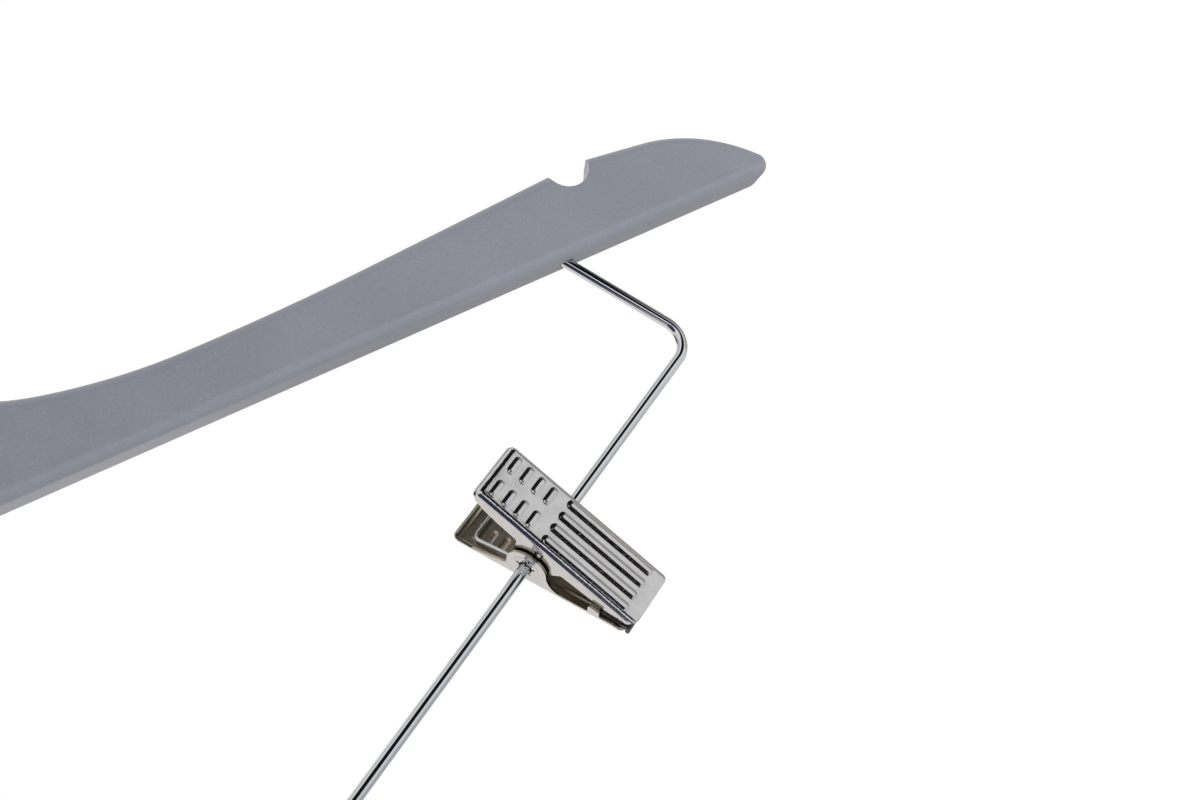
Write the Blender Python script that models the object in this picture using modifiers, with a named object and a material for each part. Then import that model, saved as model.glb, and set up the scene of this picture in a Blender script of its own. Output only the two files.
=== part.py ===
# Skirt hanger: painted wooden arms, a swivel hook, a wire bar and two pressed steel clips.
# The hanger hangs upright: +X runs along the bar, +Z is up, and the front faces -Y.
# The origin is where a wardrobe rail touches the inside of the hook.

import math

import bmesh
import bpy
from mathutils import Matrix, Vector

# Clearances
FIT_GAP = 0.0003
SWIVEL_GAP = 0.0003

# Wooden arms
BOARD_THICKNESS = 0.012
EDGE_ROUND = 0.003
HALF_SPAN = 0.231
LOWER_SLOPE = 22.2
UPPER_SLOPE = 18.1
ARM_DEPTH = 0.02436
SHOULDER_X = 0.187
SHOULDER_SLOPE = 27.4
SHOULDER_RADIUS = 0.053
TIP_RADIUS = 0.0035
ARCH_RADIUS = 0.025

# Neck, from where each arm's upper edge leaves its straight run
NECK_FOOT_X = 0.0914
NECK_FOOT_SLOPE = 21.7
NECK_FOOT_RADIUS = 0.830
NECK_WAIST_X = 0.0509
NECK_WAIST_SLOPE = 33.7
NECK_WAIST_RADIUS = 0.160
NECK_SIDE_X = 0.0179
NECK_SIDE_SLOPE = 74.0
NECK_SIDE_RADIUS = 0.061
NECK_HEIGHT = 0.0455
NECK_TOP_RADIUS = 0.0055

# Strap notch in each arm's upper edge
NOTCH_X = 0.1814
NOTCH_RADIUS = 0.0065
NOTCH_DEPTH = 0.0063
NOTCH_SLANT = 24.5
NOTCH_STEPS = 40

# Glued finger joint between the two arms
FINGER_COUNT = 4
FINGER_HEIGHT = 0.0055
FINGER_LENGTH = 0.010
FINGER_RISE = 0.0045

# Hook and the ferrule it swivels in
HOOK_WIRE = 0.0036
HOOK_RADIUS = 0.0205
HOOK_SHANK_RADIUS = 0.012
HOOK_SHANK = 0.013
HOOK_END_TURN = 20.0
HOOK_COLLAR = 0.0054
HOOK_COLLAR_LENGTH = 0.002
HOOK_PILOT = 0.001
FERRULE_WALL = 0.0009
FERRULE_DEPTH = 0.011
FERRULE_FLANGE = 0.010
FERRULE_FLANGE_THICKNESS = 0.0008

# Clip bar
BAR_WIRE = 0.003
BAR_HALF = 0.1673
BAR_DROP = 0.0365
BAR_LEG_ANGLE = 79.8
BAR_BEND = 0.007
BAR_INSERT = 0.012

# Clips
CLIP_OFFSET = 0.0907
SHEET = 0.0007
BEND_RADIUS = 0.0012
FRONT_WIDTH = 0.0170
EAR_GAP = 0.0005
FRONT_TILT = 3.5
REAR_TILT = -21.0
FRONT_DEPTH = 0.0106
REAR_DEPTH = 0.0064
FRONT_HANDLE = 0.0223
FRONT_JAW = 0.0285
REAR_HANDLE = 0.0214
REAR_JAW = 0.0278
TIP_CORNER = 0.0018
HANDLE_CORNER = 0.001
REAR_HANDLE_CORNER = 0.0015
END_WALL = 0.0018
FLANGE_BLANK = 0.008
FRONT_EAR_RADIUS = 0.0046
REAR_EAR_RADIUS = 0.0052

# Flange edges below and above each ear, as (distance from the pivot along the jaw,
# height from the plate's outer face, corner radius)
FRONT_TIP_LIP = 0.0012
FRONT_FLANGE_LOW = ((0.01425, 0.0040, 0.004), (0.0074, 0.0046, 0.0008), (0.0050, 0.0088, 0.001))
FRONT_FLANGE_HIGH = (
    (-0.0052, 0.0086, 0.001), (-0.0064, 0.0052, 0.0008), (-0.0126, 0.0049, 0.003),
    (-0.0172, 0.0043, 0.003), (-0.0206, 0.0032, 0.002))
FRONT_HANDLE_LIP = 0.0010
REAR_TIP_LIP = 0.0010
REAR_STRIP = 0.0020
REAR_FLANGE_LOW = ((0.0092, REAR_STRIP, 0.002), (0.0072, 0.0031, 0.002), (0.0060, 0.0054, 0.001))
REAR_FLANGE_HIGH = (
    (-0.0055, 0.0040, 0.001), (-0.0075, 0.0032, 0.003), (-0.0154, END_WALL, 0.003))

# Guide tab on the rear jaw, beside the pad
TAB_ABOVE_PAD = 0.0023
TAB_BESIDE_PAD = 0.0009
TAB_CORNER = 0.0004

# Pressed ribs
RIB_HEIGHT = 0.0004
RIB_WIDTH = 0.0022
SHORT_RIB_ROWS = 4
SHORT_RIB_PITCH = 0.0039
SHORT_RIB_START = 0.0036
SHORT_RIB_LENGTH = 0.0052
SHORT_RIB_OFFSET = 0.0040
LONG_RIB_COUNT = 4
LONG_RIB_SPACING = 0.0040
LONG_RIB_START = 0.0190
LONG_RIB_END = 0.0040

# Rubber pads
PAD_LENGTH = 0.0076
PAD_LIP = 0.0011
PAD_INSET = 0.0010
PAD_ROUND = 0.0005

# Pivot eyelet
EYELET_WALL = 0.0005
EYELET_FLANGE = 0.0072
EYELET_FLANGE_THICKNESS = 0.0005
EYELET_PETALS = 5
EYELET_SPLIT = 0.0007

# Spring
SPRING_WIRE = 0.0011
SPRING_COIL = 0.0064
SPRING_PITCH = 0.00157
SPRING_TURNS = 3
SPRING_POINTS = 10
SPRING_LEG_X = 0.0068
SPRING_LOOP = 0.0167
SPRING_LOOP_BEND = 0.0016
SPRING_HOOK_OUT = 0.0070
SPRING_END_BEND = 0.0010
SPRING_HOLE = (0.0017, 0.0025)

# Faceting
ARC_ERROR = 0.00002
ARC_STEP = 8.0
ROUND_STEPS = 24
SHARP_ANGLE = 35.0
HALF_BEND = 1.0 - math.cos(math.pi / 4.0)

# Derived places
REAR_WIDTH = FRONT_WIDTH + 2.0 * (SHEET + EAR_GAP)
EYELET_INNER = BAR_WIRE / 2.0 + SWIVEL_GAP
EYELET_OUTER = EYELET_INNER + EYELET_WALL
EAR_HOLE = EYELET_OUTER + FIT_GAP
FERRULE_BORE = HOOK_WIRE / 2.0 + SWIVEL_GAP
FERRULE_OUTER = FERRULE_BORE + FERRULE_WALL
NECK_BORE = FERRULE_OUTER + FIT_GAP

# Frames that lay a flat outline in the hanger's plane or in a clip's side plane
HANGER_PLANE = Matrix(((1, 0, 0, 0), (0, 0, -1, 0), (0, 1, 0, 0), (0, 0, 0, 1)))
SIDE_PLANE = Matrix(((0, 0, 1, 0), (1, 0, 0, 0), (0, 1, 0, 0), (0, 0, 0, 1)))
PLAN = Matrix.Identity(4)


def clear_scene():
    for obj in list(bpy.data.objects):
        bpy.data.objects.remove(obj, do_unlink=True)


def new_collection(name):
    collection = bpy.data.collections.new(name)
    bpy.context.scene.collection.children.link(collection)
    return collection


def finish(name, colour, roughness, metallic):
    material = bpy.data.materials.new(name)
    material.use_nodes = True
    shader = material.node_tree.nodes["Principled BSDF"]
    shader.inputs["Base Color"].default_value = (*colour, 1.0)
    shader.inputs["Roughness"].default_value = roughness
    shader.inputs["Metallic"].default_value = metallic
    return material


def heading(degrees):
    angle = math.radians(degrees)
    return Vector((math.cos(angle), math.sin(angle)))


def crossing(point, direction, other, other_direction):
    """Where two lines in a plane meet."""
    gap = other - point
    turn = direction.x * other_direction.y - direction.y * other_direction.x
    along = (gap.x * other_direction.y - gap.y * other_direction.x) / turn
    return point + along * direction


def rounded(corners, closed=True):
    """A polyline through corners given as (x, y, radius), with an arc at each radius."""
    count = len(corners)
    points = [Vector(corner[:2]) for corner in corners]
    tangents = []
    for i, corner in enumerate(corners):
        ends = not closed and i in (0, count - 1)
        back = (points[i - 1] - points[i]).normalized()
        ahead = (points[(i + 1) % count] - points[i]).normalized()
        turn = math.pi - back.angle(ahead)
        tangents.append(0.0 if ends else corner[2] * math.tan(turn / 2.0))
    fits = [1.0] * count
    for i in range(count if closed else count - 1):
        j = (i + 1) % count
        room = (points[j] - points[i]).length
        needed = tangents[i] + tangents[j]
        if needed > room + ARC_ERROR:
            fits[i] = min(fits[i], room / needed)
            fits[j] = min(fits[j], room / needed)
    line = []
    for i in range(count):
        tangent = tangents[i] * fits[i]
        back = (points[i - 1] - points[i]).normalized()
        ahead = (points[(i + 1) % count] - points[i]).normalized()
        if tangent < 1e-6:
            line.append(points[i])
            continue
        turn = math.pi - back.angle(ahead)
        radius = tangent / math.tan(turn / 2.0)
        centre = points[i] + (back + ahead).normalized() * math.hypot(radius, tangent)
        start = points[i] + back * tangent - centre
        side = 1.0 if back.x * ahead.y - back.y * ahead.x < 0.0 else -1.0
        step = 2.0 * math.acos(1.0 - min(ARC_ERROR / radius, 0.1))
        steps = max(2, math.ceil(turn / step))
        for k in range(steps + 1):
            line.append(centre + Matrix.Rotation(side * turn * k / steps, 2) @ start)
    kept = [line[0]]
    for point in line[1:]:
        if (point - kept[-1]).length > ARC_ERROR:
            kept.append(point)
    return kept


def mesh_of(curve_object):
    """Turn a curve object into a welded mesh object of the same name."""
    name = curve_object.name
    graph = bpy.context.evaluated_depsgraph_get()
    mesh = bpy.data.meshes.new_from_object(curve_object.evaluated_get(graph))
    place = curve_object.matrix_world.copy()
    bpy.data.objects.remove(curve_object, do_unlink=True)
    shape = bmesh.new()
    shape.from_mesh(mesh)
    bmesh.ops.remove_doubles(shape, verts=shape.verts, dist=1e-6)
    bmesh.ops.recalc_face_normals(shape, faces=shape.faces)
    shape.to_mesh(mesh)
    shape.free()
    mesh.name = name
    obj = bpy.data.objects.new(name, mesh)
    obj.matrix_world = place
    return obj


def flat_solid(name, outline, thickness, plane, edge=0.0):
    """A flat outline with a thickness, its rims rounded by edge, laid in a plane."""
    curve = bpy.data.curves.new(name, "CURVE")
    curve.dimensions = "2D"
    curve.fill_mode = "BOTH"
    curve.extrude = thickness / 2.0 - edge
    curve.bevel_depth = edge
    curve.bevel_resolution = 2
    curve.offset = -edge
    spline = curve.splines.new("POLY")
    spline.points.add(len(outline) - 1)
    spline.use_cyclic_u = True
    for point, place in zip(spline.points, outline):
        point.co = (place[0], place[1], 0.0, 1.0)
    outline_object = bpy.data.objects.new(name, curve)
    bpy.context.scene.collection.objects.link(outline_object)
    obj = mesh_of(outline_object)
    obj.data.transform(plane)
    return obj


def tube(name, points, radii, sides):
    """A round wire through points, with one radius at each."""
    curve = bpy.data.curves.new(name, "CURVE")
    curve.dimensions = "3D"
    curve.bevel_depth = 1.0
    curve.bevel_resolution = (sides - 4) // 2
    curve.use_fill_caps = True
    spline = curve.splines.new("POLY")
    spline.points.add(len(points) - 1)
    for point, place, radius in zip(spline.points, points, radii):
        point.co = (*place, 1.0)
        point.radius = radius
    wire = bpy.data.objects.new(name, curve)
    bpy.context.scene.collection.objects.link(wire)
    return mesh_of(wire)


def turned(name, profile, steps=ROUND_STEPS):
    """A closed profile of (radius, height) turned about Z."""
    mesh = bpy.data.meshes.new(name)
    shape = bmesh.new()
    rim = [shape.verts.new((radius, 0.0, height)) for radius, height in profile]
    for i in range(len(rim)):
        shape.edges.new((rim[i], rim[(i + 1) % len(rim)]))
    shape.to_mesh(mesh)
    shape.free()
    obj = bpy.data.objects.new(name, mesh)
    screw = obj.modifiers.new("turn", "SCREW")
    screw.axis = "Z"
    screw.angle = 2.0 * math.pi
    screw.steps = steps
    screw.render_steps = steps
    screw.use_merge_vertices = True
    screw.merge_threshold = 1e-5
    return obj


def rod(name, radius, start, end, sides=ROUND_STEPS):
    """A cylinder between two points."""
    shape = bmesh.new()
    axis = Vector(end) - Vector(start)
    bmesh.ops.create_cone(
        shape, cap_ends=True, segments=sides, radius1=radius, radius2=radius, depth=axis.length)
    turn = Vector((0.0, 0.0, 1.0)).rotation_difference(axis).to_matrix().to_4x4()
    middle = Matrix.Translation((Vector(start) + Vector(end)) / 2.0)
    bmesh.ops.transform(shape, matrix=middle @ turn, verts=shape.verts)
    mesh = bpy.data.meshes.new(name)
    shape.to_mesh(mesh)
    shape.free()
    return bpy.data.objects.new(name, mesh)


def as_cutter(obj, parent=None):
    CUTTERS.objects.link(obj)
    obj.hide_render = True
    obj.display_type = "WIRE"
    obj.parent = parent
    return obj


def boolean(obj, cutter, operation="DIFFERENCE"):
    modifier = obj.modifiers.new(cutter.name, "BOOLEAN")
    modifier.solver = "EXACT"
    modifier.operation = operation
    modifier.object = cutter


def add_part(obj, material, parent=None):
    PARTS.objects.link(obj)
    obj.data.materials.clear()
    obj.data.materials.append(material)
    obj.data.shade_smooth()
    obj.data.set_sharp_from_angle(angle=math.radians(SHARP_ANGLE))
    obj.parent = parent
    return obj


def empty(name, place, parent=None):
    obj = bpy.data.objects.new(name, None)
    obj.location = place
    obj.parent = parent
    obj.empty_display_size = 0.01
    PARTS.objects.link(obj)
    return obj


# Heights above the bar's axis, which the whole hanger is measured from
def lower_edge(x):
    return BAR_DROP + math.tan(math.radians(LOWER_SLOPE)) * (BAR_HALF - abs(x))


def upper_edge(x):
    return BAR_DROP + ARM_DEPTH + math.tan(math.radians(UPPER_SLOPE)) * (BAR_HALF - abs(x))


def neck_corners():
    """The neck's corners on the right side, from its foot to its top."""
    foot = Vector((NECK_FOOT_X, upper_edge(NECK_FOOT_X)))
    rise = math.tan(math.radians(NECK_FOOT_SLOPE))
    waist = Vector((NECK_WAIST_X, foot.y + rise * (foot.x - NECK_WAIST_X)))
    rise = math.tan(math.radians(NECK_WAIST_SLOPE))
    side = Vector((NECK_SIDE_X, waist.y + rise * (waist.x - NECK_SIDE_X)))
    rise = math.tan(math.radians(NECK_SIDE_SLOPE))
    top = Vector((side.x - (neck_top() - side.y) / rise, neck_top()))
    return [
        (*foot, NECK_FOOT_RADIUS),
        (*waist, NECK_WAIST_RADIUS),
        (*side, NECK_SIDE_RADIUS),
        (*top, NECK_TOP_RADIUS),
    ]


def neck_top():
    return lower_edge(0.0) + NECK_HEIGHT


def tip_corners():
    """The arm's tip and shoulder corners on the right side, where the two arcs touch."""
    fall = heading(-LOWER_SLOPE)
    x = HALF_SPAN - TIP_RADIUS
    centre = Vector((x, lower_edge(x) + TIP_RADIUS / fall.x))
    start = Vector((SHOULDER_X, upper_edge(SHOULDER_X)))
    slope = heading(-SHOULDER_SLOPE)
    below = start + SHOULDER_RADIUS * Vector((slope.y, -slope.x))
    gap = below - centre
    along = gap.dot(slope)
    reach = math.sqrt(along ** 2 - gap.length_squared + (SHOULDER_RADIUS - TIP_RADIUS) ** 2)
    arc_centre = below - slope * (along + reach)
    out = (centre - arc_centre).normalized()
    touch = arc_centre + SHOULDER_RADIUS * out
    tangent = Vector((out.y, -out.x))
    tip = crossing(touch, tangent, Vector((x, lower_edge(x))), fall)
    shoulder = crossing(touch, tangent, start, slope)
    return [(*tip, TIP_RADIUS), (*shoulder, SHOULDER_RADIUS), (*start, 0.0)]


def hook_top():
    """The height of the rail's contact above the bar."""
    sweep = math.acos(HOOK_SHANK_RADIUS / (HOOK_SHANK_RADIUS + HOOK_RADIUS))
    rise = (HOOK_SHANK_RADIUS + HOOK_RADIUS) * math.sin(sweep)
    return neck_top() + HOOK_SHANK + rise + HOOK_RADIUS - HOOK_WIRE / 2.0


clear_scene()
PARTS = new_collection("skirt_hanger")
CUTTERS = new_collection("cutters")

PAINT = finish("grey_paint", (0.27, 0.30, 0.35), 0.45, 0.0)
CHROME = finish("chrome", (0.78, 0.78, 0.79), 0.12, 1.0)
PLATED_STEEL = finish("plated_steel", (0.72, 0.71, 0.70), 0.22, 1.0)
SPRING_STEEL = finish("spring_steel", (0.62, 0.62, 0.63), 0.25, 1.0)
RUBBER = finish("black_rubber", (0.015, 0.016, 0.017), 0.6, 0.0)

BAR_Z = -hook_top()


def board():
    """The whole wooden outline as one blank, which the finger joint then parts."""
    right = tip_corners() + neck_corners()
    left = [(-x, z, radius) for x, z, radius in reversed(right)]
    corners = [(0.0, lower_edge(0.0), ARCH_RADIUS)] + right + left
    outline = [(x, z + BAR_Z) for x, z in rounded(corners)]
    return flat_solid("board", outline, BOARD_THICKNESS, HANGER_PLANE, EDGE_ROUND)


def joint_side(side):
    """Everything on one side of the finger joint, as a block. side is 1 for the right arm."""
    far = 2.0 * HALF_SPAN * side
    base = lower_edge(0.0) + FINGER_RISE + BAR_Z
    edge = [(side * FIT_GAP / 2.0, base - HALF_SPAN)]
    for i in range(FINGER_COUNT):
        own = (i % 2 == 0) == (side > 0)
        reach = side * ((-FINGER_LENGTH if own else FINGER_LENGTH) / 2.0 + FIT_GAP / 2.0)
        inset = FIT_GAP / 2.0 if own else -FIT_GAP / 2.0
        low = base + i * FINGER_HEIGHT + inset
        high = base + (i + 1) * FINGER_HEIGHT - inset
        edge += [(edge[-1][0], low), (reach, low), (reach, high)]
        if i == FINGER_COUNT - 1:
            edge += [(side * FIT_GAP / 2.0, high), (side * FIT_GAP / 2.0, base + HALF_SPAN)]
    outline = edge + [(far, base + HALF_SPAN), (far, base - HALF_SPAN)]
    name = "right_of_joint" if side > 0 else "left_of_joint"
    return as_cutter(flat_solid(name, outline, 2.0 * BOARD_THICKNESS, HANGER_PLANE))


def leg_line(side):
    """The bar leg's corner, its direction, and its length up to the arm's lower edge."""
    corner = Vector((side * BAR_HALF, BAR_Z))
    lean = heading(BAR_LEG_ANGLE)
    direction = Vector((-side * lean.x, lean.y))
    edge = Vector((side * BAR_HALF, BAR_Z + BAR_DROP))
    rise = heading(LOWER_SLOPE)
    slope = Vector((-side * rise.x, rise.y))
    meeting = crossing(corner, direction, edge, slope)
    return corner, direction, (meeting - corner).length


def neck_bore_depth():
    return FERRULE_DEPTH + HOOK_COLLAR_LENGTH + HOOK_PILOT + 3.0 * FIT_GAP


def make_arms():
    blank = board()
    bore_top = neck_top() + BAR_Z
    bore = as_cutter(rod(
        "neck_bore", NECK_BORE, (0, 0, bore_top - neck_bore_depth()), (0, 0, bore_top + EDGE_ROUND)))
    for side, name in ((1, "right"), (-1, "left")):
        arm = bpy.data.objects.new(name + "_arm", blank.data.copy())
        boolean(arm, joint_side(side), "INTERSECT")
        rise = upper_edge(NOTCH_X) + BAR_Z
        normal = heading(90.0 - UPPER_SLOPE)
        lift = NOTCH_RADIUS - NOTCH_DEPTH
        x = side * (NOTCH_X + normal.x * lift)
        z = rise + normal.y * lift
        slant = side * math.tan(math.radians(NOTCH_SLANT)) * BOARD_THICKNESS
        notch = as_cutter(rod(
            name + "_notch", NOTCH_RADIUS, (x - slant / 2.0, -BOARD_THICKNESS, z),
            (x + slant * 1.5, BOARD_THICKNESS, z), NOTCH_STEPS))
        boolean(arm, notch)
        corner, direction, free = leg_line(side)
        start = corner + direction * (free - BOARD_THICKNESS)
        end = corner + direction * (free + BAR_INSERT + FIT_GAP)
        hole = as_cutter(rod(
            name + "_leg_hole", BAR_WIRE / 2.0 + FIT_GAP, (start.x, 0, start.y), (end.x, 0, end.y)))
        boolean(arm, hole)
        boolean(arm, bore)
        add_part(arm, PAINT)
    bpy.data.objects.remove(blank, do_unlink=True)


def make_ferrule():
    top = neck_top() + BAR_Z + FIT_GAP
    flange_top = top + FERRULE_FLANGE_THICKNESS
    low = neck_top() + BAR_Z - FERRULE_DEPTH
    profile = [
        (FERRULE_BORE, flange_top),
        (FERRULE_FLANGE / 2.0, flange_top),
        (FERRULE_FLANGE / 2.0, top),
        (FERRULE_OUTER, top),
        (FERRULE_OUTER, low),
        (FERRULE_BORE, low),
    ]
    add_part(turned("hook_ferrule", profile), CHROME)


def hook_points():
    """The hook's centre line from its lower end to its tip, as (x, z)."""
    sweep = math.acos(HOOK_SHANK_RADIUS / (HOOK_SHANK_RADIUS + HOOK_RADIUS))
    shoulder = neck_top() + BAR_Z + HOOK_SHANK
    line = []
    steps = math.ceil(math.degrees(sweep) / ARC_STEP)
    for k in range(steps + 1):
        angle = sweep * k / steps
        line.append((
            HOOK_SHANK_RADIUS * (1 - math.cos(angle)),
            shoulder + HOOK_SHANK_RADIUS * math.sin(angle)))
    centre = -HOOK_RADIUS + HOOK_WIRE / 2.0
    first = -sweep
    last = math.pi + math.radians(HOOK_END_TURN)
    steps = math.ceil(math.degrees(last - first) / ARC_STEP)
    for k in range(1, steps + 1):
        angle = first + (last - first) * k / steps
        line.append((HOOK_RADIUS * math.cos(angle), centre + HOOK_RADIUS * math.sin(angle)))
    return line


def make_hook():
    wire = HOOK_WIRE / 2.0
    collar_top = neck_top() + BAR_Z - FERRULE_DEPTH - FIT_GAP
    collar_low = collar_top - HOOK_COLLAR_LENGTH
    blend = FIT_GAP / 3.0
    stem = [
        (collar_low - HOOK_PILOT, wire),
        (collar_low - blend, wire),
        (collar_low, HOOK_COLLAR / 2.0),
        (collar_top, HOOK_COLLAR / 2.0),
        (collar_top + blend, wire),
    ]
    points = [(0.0, 0.0, z) for z, _ in stem]
    points += [(x, 0.0, z) for x, z in hook_points()]
    radii = [radius for _, radius in stem] + [wire] * len(hook_points())
    add_part(tube("hook", points, radii, 10), CHROME)


def make_bar():
    ends = []
    for side in (-1, 1):
        corner, direction, free = leg_line(side)
        end = corner + direction * (free + BAR_INSERT)
        ends.append([(*end, 0.0), (*corner, BAR_BEND)])
    corners = ends[0] + ends[1][::-1]
    line = rounded(corners, closed=False)
    points = [(x, 0.0, z) for x, z in line]
    add_part(tube("clip_bar", points, [BAR_WIRE / 2.0] * len(points), 12), CHROME)


# Clip shapes are drawn from the pivot: s runs along the plate towards the jaw's tip,
# and depth runs from the plate's outer face towards the other jaw.
def jaw_place(s, depth, plate_depth, facing):
    """A point of a jaw in the jaw's own side plane. facing is -1 for the front, 1 for the rear."""
    return Vector((facing * (plate_depth - depth), -s))


def bite_depth(s, front):
    """How deep the surface between the two pads lies at s, measured in one jaw."""
    open_angle = math.radians(FRONT_TILT - REAR_TILT)
    front_inner = FRONT_DEPTH - SHEET
    rear_inner = REAR_DEPTH - SHEET
    # Distance from the pivot's foot to where the two inner faces would meet
    own, other = (front_inner, rear_inner) if front else (rear_inner, front_inner)
    meet = (other + own * math.cos(open_angle)) / math.sin(open_angle)
    return SHEET + (meet - s) * math.tan(open_angle / 2.0)


def arc_about(centre_depth, radius, first, last):
    """Points (s, depth, 0) on an ear's round end. Angles are from +s towards +depth."""
    steps = math.ceil(abs(last - first) / (2.0 * ARC_STEP))
    out = []
    for k in range(steps + 1):
        angle = math.radians(first + (last - first) * k / steps)
        out.append((radius * math.cos(angle), centre_depth + radius * math.sin(angle), 0.0))
    return out


def front_side():
    """The front jaw seen from the side: plate, flange edge and inner ear."""
    clear = 1.5 * FIT_GAP
    tip_start = FRONT_JAW - TIP_CORNER
    pad_start = FRONT_JAW - PAD_LENGTH
    return [
        (-FRONT_HANDLE, 0.0, 0.0),
        (FRONT_JAW, 0.0, 0.0),
        (FRONT_JAW, FRONT_TIP_LIP, 0.0),
        (tip_start, bite_depth(tip_start, True) - clear, 0.0),
        (pad_start, bite_depth(pad_start, True) - clear, 0.002),
        *FRONT_FLANGE_LOW,
        *arc_about(FRONT_DEPTH, FRONT_EAR_RADIUS, 0.0, 180.0),
        *FRONT_FLANGE_HIGH,
        (-FRONT_HANDLE, FRONT_HANDLE_LIP, 0.0),
    ]


def rear_side():
    """The rear jaw seen from the side: plate, low flange, guide tab and outer ear."""
    tab_start = REAR_JAW - PAD_LENGTH - TAB_ABOVE_PAD
    tab_end = REAR_JAW - PAD_LENGTH + TAB_BESIDE_PAD
    return [
        (-REAR_HANDLE, 0.0, 0.0),
        (REAR_JAW, 0.0, 0.0),
        (REAR_JAW, REAR_TIP_LIP, 0.0),
        (tab_end, REAR_STRIP, 0.0),
        (tab_end, bite_depth(tab_end, False) - FIT_GAP, TAB_CORNER),
        (tab_start, bite_depth(tab_start, False) - FIT_GAP, TAB_CORNER),
        (tab_start, REAR_STRIP, TAB_CORNER),
        *REAR_FLANGE_LOW,
        *arc_about(REAR_DEPTH, REAR_EAR_RADIUS, 0.0, 180.0),
        *REAR_FLANGE_HIGH,
        (-REAR_HANDLE, END_WALL, 0.0),
    ]


def end_wall(name, width, height, handle, plate_depth, facing):
    """The turned-in end of a jaw's handle."""
    shape = bmesh.new()
    bmesh.ops.create_cube(shape, size=1.0)
    size = Matrix.Diagonal((width - SHEET, height, SHEET, 1.0))
    place = Matrix.Translation((0.0, facing * (plate_depth - height / 2.0), handle - SHEET / 2.0))
    bmesh.ops.transform(shape, matrix=place @ size, verts=shape.verts)
    mesh = bpy.data.meshes.new(name)
    shape.to_mesh(mesh)
    shape.free()
    return bpy.data.objects.new(name, mesh)


def channel(name, width, plate_depth, facing, length):
    """The folded sheet before its flanges are trimmed, open towards the other jaw."""
    half = width / 2.0
    deep = plate_depth + FLANGE_BLANK
    outer = [(-half, deep, 0), (-half, 0, BEND_RADIUS), (half, 0, BEND_RADIUS), (half, deep, 0)]
    inner_bend = BEND_RADIUS - SHEET
    half -= SHEET
    inner = [(half, deep, 0), (half, SHEET, inner_bend), (-half, SHEET, inner_bend), (-half, deep, 0)]
    line = rounded(outer, closed=False) + rounded(inner, closed=False)
    section = [(x, facing * (plate_depth - depth)) for x, depth in line]
    return flat_solid(name, section, length, PLAN)


def rib_grid(length):
    """Each rib as (x, distance from the handle end, length, turned along the jaw)."""
    ribs = []
    for row in range(SHORT_RIB_ROWS):
        for side in (-1, 1):
            along = SHORT_RIB_START + row * SHORT_RIB_PITCH
            ribs.append((side * SHORT_RIB_OFFSET, along, SHORT_RIB_LENGTH, False))
    span = length - LONG_RIB_START - LONG_RIB_END
    for i in range(LONG_RIB_COUNT):
        x = (i - (LONG_RIB_COUNT - 1) / 2.0) * LONG_RIB_SPACING
        ribs.append((x, LONG_RIB_START + span / 2.0, span, True))
    return ribs


def ribs(name, handle, jaw, plate_depth, facing):
    """The raised ribs of one jaw, as separate lozenges to be joined to its plate."""
    shape = bmesh.new()
    for x, along, length, lengthwise in rib_grid(handle + jaw):
        made = bmesh.ops.create_uvsphere(shape, u_segments=8, v_segments=5, radius=RIB_WIDTH / 2.0)
        verts = made["verts"]
        stretch = (length - RIB_WIDTH) / 2.0
        for vert in verts:
            vert.co.z += math.copysign(stretch, vert.co.z)
        flatten = Matrix.Diagonal((1.0, 2.0 * RIB_HEIGHT / RIB_WIDTH, 1.0, 1.0))
        turn = Matrix.Identity(4) if lengthwise else Matrix.Rotation(math.pi / 2.0, 4, "Y")
        place = Matrix.Translation((x, facing * plate_depth, handle - along))
        bmesh.ops.transform(shape, matrix=place @ turn @ flatten, verts=verts)
    mesh = bpy.data.meshes.new(name)
    shape.to_mesh(mesh)
    shape.free()
    return bpy.data.objects.new(name, mesh)


def make_jaw(name, clip, side_outline, width, handle, jaw, plate_depth, facing, tilt, corner, wall_height):
    """One pressed jaw: a folded channel, trimmed from the side and from the front."""
    tilt = math.radians(tilt)
    reach = max(handle, jaw)
    obj = channel(name, width, plate_depth, facing, 3.0 * reach)
    line = [jaw_place(s, depth, plate_depth, facing) for s, depth in rounded(side_outline)]
    trim = as_cutter(flat_solid(name + "_side", line, 2.0 * width, SIDE_PLANE), clip)
    inset = width / 2.0
    plan = [
        (-inset, handle, corner), (-inset, -jaw, TIP_CORNER),
        (inset, -jaw, TIP_CORNER), (inset, handle, corner)]
    face = as_cutter(flat_solid(name + "_plan", rounded(plan), 4.0 * reach, HANGER_PLANE), clip)
    pattern = as_cutter(ribs(name + "_ribs", handle, jaw, plate_depth, facing), clip)
    wall = as_cutter(end_wall(name + "_end", width, wall_height, handle, plate_depth, facing), clip)
    hole = as_cutter(rod(name + "_hole", EAR_HOLE, (-width, 0, 0), (width, 0, 0)), clip)
    for tool in (wall, trim, face, pattern, hole, obj):
        tool.rotation_euler = (tilt, 0.0, 0.0)
    boolean(obj, wall, "UNION")
    boolean(obj, trim, "INTERSECT")
    boolean(obj, face, "INTERSECT")
    boolean(obj, pattern, "UNION")
    boolean(obj, hole)
    return add_part(obj, PLATED_STEEL, clip)


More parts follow.
